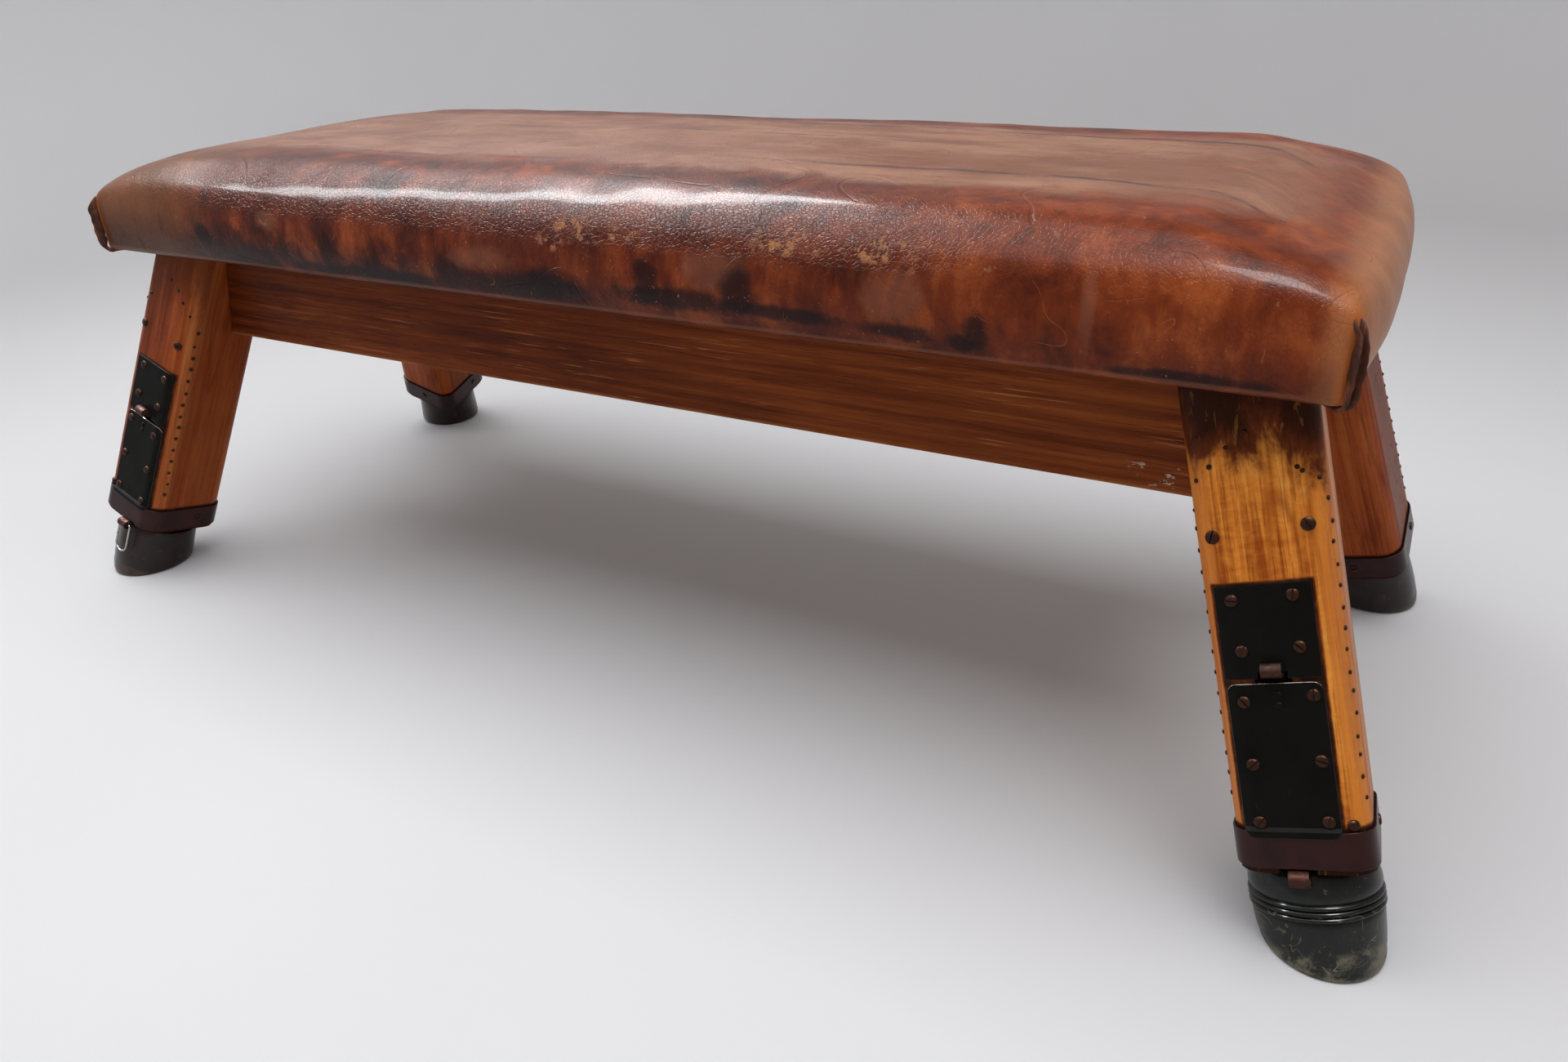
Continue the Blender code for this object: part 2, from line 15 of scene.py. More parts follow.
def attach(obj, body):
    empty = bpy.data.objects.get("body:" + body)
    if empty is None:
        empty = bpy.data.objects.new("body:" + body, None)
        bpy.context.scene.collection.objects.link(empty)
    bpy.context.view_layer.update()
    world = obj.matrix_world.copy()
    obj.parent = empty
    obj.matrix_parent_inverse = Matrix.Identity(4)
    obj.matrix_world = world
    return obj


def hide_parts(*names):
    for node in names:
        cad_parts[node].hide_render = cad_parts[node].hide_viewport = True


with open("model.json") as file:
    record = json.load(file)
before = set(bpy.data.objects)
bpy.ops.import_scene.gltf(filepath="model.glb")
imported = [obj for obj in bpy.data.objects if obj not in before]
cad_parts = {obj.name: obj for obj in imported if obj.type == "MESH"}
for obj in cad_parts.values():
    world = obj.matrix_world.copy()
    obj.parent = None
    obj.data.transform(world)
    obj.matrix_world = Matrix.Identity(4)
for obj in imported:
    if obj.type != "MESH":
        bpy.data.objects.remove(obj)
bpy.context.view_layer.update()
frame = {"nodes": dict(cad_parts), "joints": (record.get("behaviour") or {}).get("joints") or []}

JOINTS = {joint["name"]: joint for joint in frame["joints"]}

# Camera
CAMERA_PLACE = (0.7625, -1.1437, 0.7863)
CAMERA_YAW = 29.74
CAMERA_PITCH = 27.68
CAMERA_ROLL = 2.59
CAMERA_LENS = 25.46

# Padded top, as the CAD has it
PAD_HALF = (0.750, 0.2785)
PAD_BOTTOM = 0.469
CORNER_HEIGHT = 0.068
SHOULDER_HEIGHT = 0.044
SHOULDER_RUN = (0.145, 0.052)
CROWN = 0.016
SIDE_BULGE = 0.014
END_BULGE = 0.024
EDGE_BULGE = 0.7        # share of the bulge that is left where a wall meets the top
LIP = 0.022
CORNER_ROUND = 0.009     # radius of the pad's upright corners
PAD_STEP = 0.008        # mesh spacing on the leather before it is subdivided
PAD_SHRINK = 0.003      # the leather starts this much lower and swells
PAD_CAP = 0.005         # furthest that a point of the leather may move
PAD_PRESSURE = 4.0
SWELL_FRAMES = 20
HIDE = 0.0025           # thickness of the leather

# Legs, as the CAD has them
LEGS = ("front_left", "front_right", "back_left", "back_right")
SIDES = {"front_left": (-1, -1), "front_right": (1, -1), "back_left": (-1, 1), "back_right": (1, 1)}
RIDGED_LEG = "front_right"
LEG_HALF = (0.053, 0.056)
LEG_CORNER = 0.021
PLATE_OFFSET = 0.0062
STEEL = 0.002
GAP = 0.0003
PIVOT_Y = LEG_HALF[1] + GAP + STEEL + 0.0008 + 0.005 + STEEL / 2
PIVOT_Z = 0.2566
EYE = (0.0585, 0.0775)
STRIP_Y = 0.0424
ROLL = 0.005
EYE_ROLL = 0.006
LEVER_BEND = 0.004
LEVER_WIDTH = 0.016
NOTCH_WIDTH = 0.023
NOTCH_TOP = 0.2541
RING_WIRE = 0.0013
RING_HALF_WIDTH = 0.0115
RING_DROP = 0.045
FOOT_SQUARE_FROM = 0.45
CUP_TOP = 0.074
BOOT_TOP = 0.079
BAND = (0.086, 0.118)
PLATES = (0.111, 0.329)         # bottom of the lower plate and top of the upper one
PLATE_JOINT = (0.2405, 0.2460)
PLATE_FRONT = LEG_HALF[1] + GAP + STEEL
RAIL_BOTTOM = 0.3475
NAIL_PITCH = 0.0176
SINK = 0.0004           # how far a nail or screw head reaches into what it sits on

# Places on the latch face as (x towards the middle of the horse, z)
ARCH_NAILS = ((0.003, 0.450), (0.0203, 0.4404), (0.0338, 0.4287), (0.045, 0.4155),
              (-0.0306, 0.418), (-0.0349, 0.4141), (-0.0455, 0.4057))
BIG_NAIL = (-0.0393, 0.1234)
PLATE_SCREWS = ((0.0301, 0.3150), (-0.0165, 0.3167), (0.0271, 0.2720), (-0.0169, 0.2736),
                (0.0305, 0.2291), (-0.0225, 0.2335), (0.0299, 0.1759), (-0.0223, 0.1784),
                (0.0303, 0.1262), (-0.0218, 0.1272))
BOARD_SCREWS = ((0.0389, 0.3685), (-0.0342, 0.3722))
RIVETS = ((0.0040, 0.2344), (0.0040, 0.2255))


# ---------------------------------------------------------------- shader helpers

def tone(red, green, blue):
    """Linear colour of an sRGB colour given in 0 to 255."""
    values = []
    for channel in (red, green, blue):
        c = channel / 255
        values.append(c / 12.92 if c <= 0.04045 else ((c + 0.055) / 1.055) ** 2.4)
    return (*values, 1.0)


PLACE = "place"         # mesh attribute that holds a point's coordinates in its piece's frame


class Shader:
    """A Principled material with short calls for the nodes that feed it.

    Its coordinates are a piece's own: along the pad for the top, and up the leg for leg pieces.
    """

    def __init__(self, name, own_place=True, **constants):
        self.mat = bpy.data.materials.new(name)
        self.mat.use_nodes = True
        self.nodes = self.mat.node_tree.nodes
        self.links = self.mat.node_tree.links
        self.bsdf = self.nodes["Principled BSDF"]
        for socket, value in constants.items():
            self.bsdf.inputs[socket.replace("_", " ")].default_value = value
        if own_place:
            attribute = self.node("Attribute")
            attribute.attribute_name = PLACE
            self.place = attribute.outputs["Vector"]
        else:
            self.place = self.node("TexCoord").outputs["Object"]
        self.x, self.y, self.z = self.node("SeparateXYZ", Vector=self.place).outputs

    def put(self, socket, value):
        if isinstance(value, bpy.types.NodeSocket):
            self.links.new(value, socket)
        else:
            socket.default_value = value

    def node(self, kind, **inputs):
        """New node with the named inputs set or linked."""
        node = self.nodes.new("ShaderNode" + kind)
        for name, value in inputs.items():
            self.put(node.inputs[name.replace("_", " ")], value)
        return node

    def stretched(self, stretch, offset, place=None):
        location = (offset, offset * 1.7, offset * 0.6)
        node = self.node("Mapping", Vector=place or self.place, Scale=stretch, Location=location)
        return node.outputs["Vector"]

    def noise(self, scale, detail=3.0, rough=0.55, offset=0.0, stretch=(1, 1, 1), warp=0.0, place=None):
        node = self.node("TexNoise", Vector=self.stretched(stretch, offset, place), Scale=scale,
                         Detail=detail, Roughness=rough, Distortion=warp)
        return node.outputs["Fac"]

    def cells(self, scale, offset, stretch):
        """Distance to the nearest edge of a net of cells."""
        node = self.node("TexVoronoi")
        node.feature = "DISTANCE_TO_EDGE"
        self.put(node.inputs["Vector"], self.stretched(stretch, offset))
        self.put(node.inputs["Scale"], scale)
        return node.outputs["Distance"]

    def hairline(self, scale, width, offset, stretch=(1, 1, 1), warp=0.0):
        """Thin wandering lines, where a smooth noise crosses its middle value."""
        value = self.noise(scale, 1.0, 0.4, offset, stretch, warp)
        return self.mask(self.size(self.minus(value, 0.5)), width, width * 0.3)

    def math(self, operation, first, *others):
        """One math node for each further value, each on the result so far."""
        for value in others:
            node = self.nodes.new("ShaderNodeMath")
            node.operation = operation
            self.put(node.inputs[0], first)
            self.put(node.inputs[1], value)
            first = node.outputs[0]
        return first

    def times(self, *values):
        return self.math("MULTIPLY", *values)

    def plus(self, *values):
        return self.math("ADD", *values)

    def minus(self, a, b):
        return self.math("SUBTRACT", a, b)

    def most(self, *values):
        return self.math("MAXIMUM", *values)

    def size(self, value):
        return self.math("ABSOLUTE", value, 0.0)

    def mask(self, value, low, high, start=0.0, end=1.0):
        """Smooth step from start to end while value goes from low to high."""
        if low > high:
            low, high, start, end = high, low, end, start
        node = self.node("MapRange", Value=value, From_Min=low, From_Max=high, To_Min=start, To_Max=end)
        node.interpolation_type = "SMOOTHSTEP"
        return node.outputs["Result"]

    def patch(self, u, v, centre, half, ragged):
        """Blot with a ragged edge at a centre in two coordinates; 1 inside and 0 outside."""
        du = self.times(self.minus(u, centre[0]), 1 / half[0])
        dv = self.times(self.minus(v, centre[1]), 1 / half[1])
        reach = self.plus(self.times(du, du), self.times(dv, dv), ragged)
        return self.mask(reach, 1.9, 0.2)

    def window(self, value, low, high, soft):
        """1 between low and high, falling to 0 over soft at both ends."""
        rise = self.mask(value, low - soft, low + soft)
        return self.times(rise, self.mask(value, high + soft, high - soft))

    def mix(self, factor, a, b):
        node = self.nodes.new("ShaderNodeMix")
        node.data_type = "RGBA"
        self.put(node.inputs["Factor"], factor)
        self.put(node.inputs[6], a)
        self.put(node.inputs[7], b)
        return node.outputs[2]

    def ramp(self, value, *stops):
        node = self.node("ValToRGB", Fac=value)
        elements = node.color_ramp.elements
        while len(elements) < len(stops):
            elements.new(1.0)
        for element, (position, colour) in zip(elements, stops):
            element.position = position
            element.color = colour
        return node.outputs["Color"]

    def bump(self, height, distance):
        return self.node("Bump", Strength=1.0, Distance=distance, Height=height).outputs["Normal"]

    def done(self, colour, roughness, normal=None, metallic=None):
        results = {"Base Color": colour, "Roughness": roughness, "Normal": normal, "Metallic": metallic}
        for name, value in results.items():
            if value is not None:
                self.put(self.bsdf.inputs[name], value)
        return self.mat


# ---------------------------------------------------------------- materials

# Marks on the front of the leather: (x, z), (half width, half height)
DARK_STAINS = (
    ((-0.520, 0.507), (0.014, 0.012)), ((-0.030, 0.489), (0.085, 0.014)), ((0.015, 0.497), (0.040, 0.014)),
    ((0.170, 0.496), (0.075, 0.011)), ((0.135, 0.512), (0.014, 0.022)), ((0.235, 0.507), (0.018, 0.022)),
    ((0.290, 0.494), (0.050, 0.007)), ((0.400, 0.490), (0.032, 0.008)), ((0.466, 0.500), (0.010, 0.018)),
    ((-0.250, 0.482), (0.110, 0.008)), ((0.450, 0.486), (0.014, 0.008)), ((0.640, 0.478), (0.060, 0.006)),
)
PALE_PATCHES = (
    ((0.208, 0.528), (0.030, 0.018)), ((0.392, 0.520), (0.028, 0.020)), ((-0.070, 0.516), (0.040, 0.012)),
    ((0.556, 0.525), (0.006, 0.030)), ((-0.400, 0.532), (0.016, 0.009)),
)
TORN_SPOTS = (
    ((0.052, 0.552), (0.030, 0.012)), ((0.110, 0.556), (0.026, 0.010)), ((0.278, 0.556), (0.026, 0.010)),
    ((-0.400, 0.533), (0.010, 0.006)), ((0.020, 0.540), (0.016, 0.010)), ((0.360, 0.556), (0.050, 0.008)),
)
# Dark lines along the top of the leather: y, start and end in x, width
TOP_LINES = (
    (-0.110, 0.24, 0.80, 0.004), (0.143, 0.05, 0.80, 0.006), (0.03, -0.30, 0.30, 0.003),
    (-0.165, -0.50, -0.05, 0.003), (0.16, -0.62, -0.15, 0.005),
)


def make_leather():
    """Old varnished hide: dark stains, orange and tan wear, crackle, drips and long streaks; its pale top is
    partly the hide's own dusty colour and partly painted sheen.
    """
    s = Shader("leather", Specular_IOR_Level=0.07, Coat_Weight=0.08, Coat_Roughness=0.12)
    front = s.mask(s.y, -0.20, -0.235)
    left_end = s.mask(s.x, -0.47, -0.62)
    right_end = s.mask(s.x, 0.22, 0.60)
    low = s.mask(s.z, PAD_BOTTOM + 0.045, PAD_BOTTOM + 0.004)
    big = s.noise(7, 4, 0.6, 3.1, (1, 1, 1.6))
    blotch = s.noise(19, 5, 0.62, 0.7, (1, 1, 0.8), 0.4)
    drips = s.noise(34, 5, 0.65, 5.3, (1, 1, 0.32), 0.3)
    inset = s.plus(s.size(s.y), s.times(s.minus(blotch, 0.5), 0.09))
    up = s.times(s.mask(inset, 0.190, 0.145), s.mask(s.size(s.x), 0.740, 0.640))
    ragged = s.times(s.minus(s.noise(42, 5, 0.65, 12.0, (1, 1, 1), 0.5), 0.5), 3.2)
    mottled = s.plus(s.times(blotch, 0.62), s.times(drips, 0.38))
    side = s.ramp(mottled, (0.38, tone(54, 20, 13)), (0.50, tone(104, 42, 20)), (0.63, tone(152, 74, 36)))
    side = s.mix(s.times(s.mask(big, 0.40, 0.62), 0.55), side, tone(74, 30, 20))
    side = s.mix(s.times(low, 0.40), side, tone(48, 20, 15))
    left_half = s.window(s.x, -0.62, -0.12, 0.10)
    dusk = s.times(left_half, s.mask(s.plus(s.z, s.times(blotch, 0.05)), 0.560, 0.515))
    side = s.mix(s.times(dusk, s.mask(mottled, 0.60, 0.44, 0.35, 0.90)), side, tone(36, 16, 14))
    deep = s.mask(s.z, PAD_BOTTOM + 0.070, PAD_BOTTOM + 0.012)
    tan = s.mix(s.times(deep, 0.80), s.mix(blotch, tone(98, 56, 34), tone(142, 90, 56)), tone(54, 25, 15))
    side = s.mix(s.times(left_end, 0.88), side, tan)
    orange = s.ramp(mottled, (0.38, tone(88, 34, 14)), (0.50, tone(124, 53, 22)), (0.65, tone(164, 84, 40)))
    side = s.mix(s.times(right_end, s.mask(low, 1.0, 0.0, 0.45, 0.9)), side, orange)
    end_tan = s.mask(s.x, 0.715, 0.752)
    side = s.mix(s.times(end_tan, 0.75), side, s.mix(blotch, tone(150, 92, 56), tone(196, 138, 94)))
    stain = s.times(s.mask(drips, 0.60, 0.68), s.mask(s.noise(6, 2, 0.5, 9.0, (1, 1, 0.3)), 0.50, 0.62))
    side = s.mix(s.times(stain, 0.55), side, tone(34, 18, 18))
    for centre, half in PALE_PATCHES:
        spot = s.times(s.patch(s.x, s.z, centre, half, ragged), front)
        side = s.mix(s.times(spot, 0.45), side, tone(132, 84, 64))
    for centre, half in DARK_STAINS:
        spot = s.times(s.patch(s.x, s.z, centre, half, ragged), front)
        side = s.mix(s.times(spot, 0.85), side, tone(28, 14, 16))
    past = s.most(s.minus(s.x, 0.60), 0.0)
    flow = s.plus(s.y, s.times(past, past, 13.0))
    flowing = s.node("CombineXYZ", X=s.x, Y=flow).outputs["Vector"]
    grain_lines = s.noise(34, 5, 0.66, 2.2, (0.16, 1, 1), 0.4, place=flowing)
    # Top colours: the pale pinkish browns are partly the hide's own dusty colour and partly painted sheen.
    top = s.mix(s.mask(big, 0.35, 0.68), tone(138, 94, 74), tone(158, 116, 94))
    cloudy = s.noise(11, 5, 0.62, 14.4, (0.35, 1, 1), 0.4, place=flowing)
    top = s.mix(s.mask(cloudy, 0.44, 0.66, 0.0, 0.55), top, tone(112, 70, 50))
    top = s.mix(s.mask(cloudy, 0.42, 0.30, 0.0, 0.55), top, tone(170, 128, 102))
    top = s.mix(s.times(s.mask(blotch, 0.48, 0.68), 0.45), top, tone(124, 72, 52))
    top = s.mix(s.mask(grain_lines, 0.42, 0.68, 0.0, 0.30), top, tone(104, 66, 56))
    pale_lines = s.mask(s.noise(90, 4, 0.6, 6.6, (0.14, 1, 1), place=flowing), 0.56, 0.68)
    top = s.mix(s.times(pale_lines, 0.25), top, tone(190, 132, 96))
    waver = s.times(s.minus(s.noise(5, 3, 0.55, 8.8, (1, 0.2, 1)), 0.5), 0.05)
    for line, start, end, width in TOP_LINES:
        near = s.size(s.minus(s.plus(flow, waver), line))
        mark = s.times(s.mask(near, width * 1.6, width * 0.3), s.window(s.x, start, end, 0.06))
        mark = s.times(mark, s.mask(s.noise(30, 4, 0.6, 3.3, (0.4, 1, 1)), 0.36, 0.56))
        top = s.mix(s.times(mark, 0.70), top, tone(48, 42, 54))
    red = s.patch(s.x, s.y, (0.690, -0.185), (0.042, 0.026), ragged)
    top = s.mix(s.times(red, 0.6), top, tone(84, 32, 22))
    colour = s.mix(up, side, top)
    wall_top = PAD_BOTTOM + CORNER_HEIGHT
    shoulder = s.window(s.z, wall_top + 0.004, wall_top + 0.038, 0.014)
    worn = s.times(shoulder, front, s.window(s.x, -0.50, 0.42, 0.06))
    crackle = s.cells(290, 0.4, (0.8, 1, 0.6))
    cracks = s.times(s.mask(crackle, 0.10, 0.0), s.mask(s.noise(14, 3, 0.5, 6.0), 0.46, 0.60))
    colour = s.mix(s.times(cracks, 0.22), colour, tone(40, 20, 14))
    colour = s.mix(s.times(worn, s.mask(blotch, 0.42, 0.62), 0.55), colour, tone(74, 32, 28))
    torn = s.mask(s.noise(70, 6, 0.72, 7.7), 0.52, 0.57)
    flakes = 0.0
    for centre, half in TORN_SPOTS:
        flakes = s.most(flakes, s.patch(s.x, s.z, centre, half, ragged))
    flakes = s.times(flakes, front, torn)
    elsewhere = s.times(s.mask(s.noise(48, 5, 0.7, 4.7), 0.62, 0.66), s.mask(big, 0.50, 0.62), shoulder)
    flakes = s.most(flakes, s.times(elsewhere, 0.7))
    colour = s.mix(s.times(flakes, 0.85), colour, tone(176, 116, 74))
    specks = s.times(s.mask(s.noise(330, 2, 0.5, 1.1), 0.68, 0.73), s.mask(blotch, 0.42, 0.6))
    colour = s.mix(s.times(specks, 0.6), colour, tone(182, 122, 78))
    scratches = s.hairline(21, 0.004, 15.0, (1, 1, 1), 0.5)
    scratches = s.times(scratches, s.mask(s.noise(26, 2, 0.5, 16.0), 0.60, 0.66))
    colour = s.mix(s.times(scratches, 0.30), colour, tone(186, 128, 88))
    edge = s.window(s.z, PAD_BOTTOM + 0.0015, PAD_BOTTOM + 0.0065, 0.0015)
    colour = s.mix(s.times(edge, 0.40), colour, tone(134, 84, 62))
    rim_x = s.mask(s.size(s.x), PAD_HALF[0] - 0.014, PAD_HALF[0] - 0.004)
    rim_y = s.mask(s.size(s.y), PAD_HALF[1] - 0.014, PAD_HALF[1] - 0.004)
    colour = s.mix(s.times(rim_x, rim_y, 0.8), colour, tone(176, 98, 48))
    rough = s.plus(0.24, s.times(s.noise(30, 4, 0.6, 8.0), 0.18), s.times(flakes, 0.3), s.times(up, 0.10))
    crease = s.hairline(9, 0.010, 22.0, (1, 1, 1.4), 0.6)
    wrinkles = s.noise(200, 3, 0.6, 9.9, (0.8, 1, 0.5), 1.0)
    height = s.plus(
        s.times(s.mask(crackle, 0.0, 0.14), s.plus(0.08, s.times(worn, 0.30))),
        s.times(s.noise(620, 3, 0.6), 0.10),
        s.times(wrinkles, s.plus(0.12, s.times(worn, 0.85))),
        s.times(s.noise(36, 4, 0.6, 2.0), 0.6),
        s.times(crease, s.mask(big, 0.45, 0.60), -0.4),
        s.times(flakes, -0.6),
    )
    return s.done(colour, rough, s.bump(height, 0.0014))


def make_flap():
    """Raw, darkened edge of the hide where it is gathered at the corners."""
    s = Shader("leather_flap", Specular_IOR_Level=0.25)
    along = s.noise(90, 5, 0.65, 1.0, (1, 1, 0.3), 0.4)
    colour = s.ramp(along, (0.36, tone(38, 18, 12)), (0.52, tone(84, 40, 24)), (0.70, tone(140, 82, 48)))
    height = s.plus(along, s.times(s.noise(380, 4), 0.3))
    return s.done(colour, s.plus(0.45, s.times(along, 0.25)), s.bump(height, 0.0012))


def add_leg_dirt_and_shade(s, colour, streak, seed, dark, mid, corner, soot_and_shade_level, middle):
    """Pale corner strips, a dirty halo round the plates, soot with painted shade under the pad, and a dirty
    joint.
    """
    across = s.size(s.x)
    beside = s.times(s.mask(across, 0.036, 0.041), s.mask(s.y, 0.02, 0.035))
    strip = s.mix(s.mask(streak, 0.38, 0.62), mid, corner)
    colour = s.mix(s.times(beside, 0.75), colour, strip)
    smear = s.noise(60, 5, 0.7, seed + 9, (1, 1, 0.5))
    outer = s.mask(s.y, 0.03, 0.04)
    near = s.size(s.minus(s.x, middle))
    halo = s.times(s.window(s.z, *PLATES, 0.002), s.mask(near, 0.0412, 0.0378), outer)
    halo = s.times(halo, s.mask(smear, 0.34, 0.62, 0.45, 0.95))
    # Soot under the pad: partly a real black-brown stain and partly painted shade where the pad overhangs the
    # leg tops.
    cloud = s.noise(24, 5, 0.68, seed + 10, (1.4, 1, 0.5), 0.5)
    soot_and_shade = s.times(s.mask(s.plus(s.z, s.times(cloud, 0.18)), 0.480, 0.570), outer, soot_and_shade_level)
    joint = s.mask(s.z, BAND[1] + 0.006, BAND[1] + 0.001, 0.0, 0.95)
    grime_and_shade = s.most(halo, soot_and_shade, joint)
    colour = s.mix(s.times(s.mask(across, 0.0520, 0.0528), 0.45), colour, dark)
    # Dark mixes for the halo round the plates, the joint, and the soot with its painted shade.
    colour = s.mix(s.mask(grime_and_shade, 0.0, 0.55), colour, tone(100, 46, 18))
    colour = s.mix(s.mask(grime_and_shade, 0.45, 1.0, 0.0, 0.88), colour, tone(27, 12, 7))
    return colour, grime_and_shade


def add_rail_wear_and_light(s, colour, streak, seed, mid):
    """Pale scuffs and a worn lower edge on the rails, a right end made lighter partly by wear and partly by
    painted light, and paint specks by one leg.
    """
    wear = s.mask(s.noise(115, 3, 0.6, seed + 11, (0.06, 1, 3.0)), 0.595, 0.625)
    patchy = s.mask(s.noise(14, 3, 0.6, 7.0, (0.3, 1, 1)), 0.46, 0.58)
    wear = s.times(wear, patchy, s.mask(s.z, 0.452, 0.420, 0.0, 1.0))
    wear = s.times(wear, s.mask(s.x, -0.5, 0.1, 0.35, 1.0))
    low_edge = s.mask(s.z, RAIL_BOTTOM, RAIL_BOTTOM - 0.005)
    foot = s.times(low_edge, s.mask(s.noise(30, 4, 0.65, 4.0, (0.2, 1, 1)), 0.38, 0.56))
    specks = s.mask(s.noise(170, 4, 0.7, 2.0, (0.5, 1, 1)), 0.60, 0.64)
    specks = s.times(specks, s.window(s.x, 0.585, 0.640, 0.01), s.window(s.z, 0.348, 0.366, 0.005))
    # Lighter, warmer wood towards the right end: partly wear, partly painted light, with the left end painted
    # as if in shade.
    right_light_and_wear = s.mask(s.x, -0.25, 0.65)
    colour = s.mix(s.times(right_light_and_wear, 0.65), colour, s.mix(s.mask(streak, 0.25, 0.70), mid, tone(150, 78, 30)))
    colour = s.mix(s.times(s.most(wear, s.times(foot, 0.7)), 0.60), colour, tone(186, 120, 70))
    return s.mix(specks, colour, tone(206, 196, 178))


def make_wood(name, dark, mid, light, seed, figure=0.3, ripple=0.0, rough=0.34,
              along=2, corner=None, soot_and_shade_level=0.0, middle=0.0, rail_wear_and_light=False):
    """Varnished board with its grain along one axis, scuffs, dirt and worn edges; legs also get soot with
    painted shade under the pad, and rails a lighter right end that is partly painted light.
    """
    s = Shader(name, Specular_IOR_Level=0.05, Coat_Weight=0.04, Coat_Roughness=0.22)

    def squeeze(factor):
        return tuple(factor if axis == along else 1.0 for axis in range(3))

    contour = s.noise(15, 2, 0.5, seed, squeeze(0.13), 0.35)
    rings = s.math("PINGPONG", s.times(contour, 11.0), 1.0)
    flames = s.mask(rings, 0.30, 0.0)
    fibre = s.noise(520, 4, 0.6, seed + 1, squeeze(0.018))
    streak = s.noise(100, 5, 0.65, seed + 2, squeeze(0.03), 0.1)
    shade = s.noise(9, 3, 0.55, seed + 3, squeeze(0.4))
    value = s.plus(s.times(streak, 0.50), s.times(fibre, 0.20), s.times(shade, 0.50))
    if ripple:
        curl = s.noise(85, 3, 0.5, seed + 8, squeeze(2.2), 0.6)
        value = s.plus(value, s.times(s.minus(curl, 0.5), ripple))
    colour = s.ramp(value, (0.48, dark), (0.60, mid), (0.74, light))
    colour = s.mix(s.times(flames, s.mask(shade, 0.30, 0.60, 0.4, 1.0), figure), colour, dark)
    pores = s.mask(s.noise(760, 2, 0.5, seed + 4, squeeze(0.03)), 0.60, 0.68)
    colour = s.mix(s.times(pores, 0.45), colour, dark)
    dirt = s.mask(s.noise(18, 5, 0.68, seed + 5, squeeze(0.45)), 0.56, 0.66)
    colour = s.mix(s.times(dirt, 0.22), colour, dark)
    grime_and_shade = dirt
    if corner:
        colour, grime_and_shade = add_leg_dirt_and_shade(s, colour, streak, seed, dark, mid, corner, soot_and_shade_level, middle)
    scratch = s.mask(s.noise(150, 2, 0.4, seed + 6, squeeze(0.22), 1.5), 0.66, 0.685)
    colour = s.mix(s.times(scratch, 0.10), colour, light)
    roughness = s.plus(rough, s.times(streak, 0.12), s.times(scratch, 0.2), s.times(grime_and_shade, 0.15))
    height = s.plus(s.times(fibre, 0.25), s.times(streak, 0.5), s.times(pores, -0.5), s.times(scratch, -0.3))
    # Rail wear, and the painted light on the rail's right end.
    if rail_wear_and_light:
        colour = add_rail_wear_and_light(s, colour, streak, seed, mid)
    return s.done(colour, roughness, s.bump(height, 0.0006))


def make_lacquer(name, base, worn, seed, rough=0.30, metallic=0.2, wear=0.62, coat=0.2, shine=0.2):
    """Lacquered steel, chipped here and there down to browned metal."""
    s = Shader(name, Specular_IOR_Level=shine, Coat_Weight=coat, Coat_Roughness=0.2)
    chips = s.mask(s.noise(95, 6, 0.72, seed), wear, wear + 0.04)
    cloud = s.noise(30, 4, 0.6, seed + 1)
    scratch = s.hairline(40, 0.006, seed + 2, (1, 1, 0.3))
    scratch = s.times(scratch, s.mask(s.noise(50, 2, 0.5, seed), 0.56, 0.64))
    marks = s.most(s.times(chips, 0.7), s.times(scratch, 0.5))
    colour = s.mix(s.mask(cloud, 0.4, 0.7), base, tuple(0.6 * c for c in base[:3]) + (1.0,))
    colour = s.mix(marks, colour, worn)
    roughness = s.plus(rough, s.times(cloud, 0.18), s.times(marks, 0.2))
    height = s.plus(s.times(cloud, 0.8), s.times(marks, -0.5), s.times(s.noise(420, 3), 0.15))
    return s.done(colour, roughness, s.bump(height, 0.0003), s.plus(metallic, s.times(marks, 0.4)))


def make_plate_edge():
    """Plate edge: bare bright metal where the two plates meet, dark lacquer elsewhere."""
    s = Shader("plate_worn_edge")
    rub = s.mask(s.noise(70, 4, 0.6, 3.0), 0.36, 0.52)
    bare = s.times(s.window(s.z, *PLATE_JOINT, 0.0015), rub)
    colour = s.mix(bare, tone(30, 25, 22), tone(190, 184, 176))
    return s.done(colour, s.mask(bare, 0.0, 1.0, 0.36, 0.26), None, s.mask(bare, 0.0, 1.0, 0.3, 1.0))


def make_steel(name, base, dark, seed, rough=0.28, rusty=0.52, metal=1.0):
    """Bare steel with rust-brown dirt in its low places."""
    s = Shader(name)
    cloud = s.noise(80, 5, 0.65, seed)
    rust = s.mask(s.noise(150, 5, 0.7, seed + 1), rusty, rusty + 0.14)
    colour = s.mix(cloud, base, tuple(0.6 * c for c in base[:3]) + (1.0,))
    colour = s.mix(s.times(rust, 0.8), colour, dark)
    roughness = s.plus(rough, s.times(cloud, 0.2), s.times(rust, 0.3))
    height = s.plus(s.times(cloud, 0.5), s.times(rust, 0.4))
    return s.done(colour, roughness, s.bump(height, 0.0003), s.mask(rust, 0.0, 1.0, metal, 0.55 * metal))


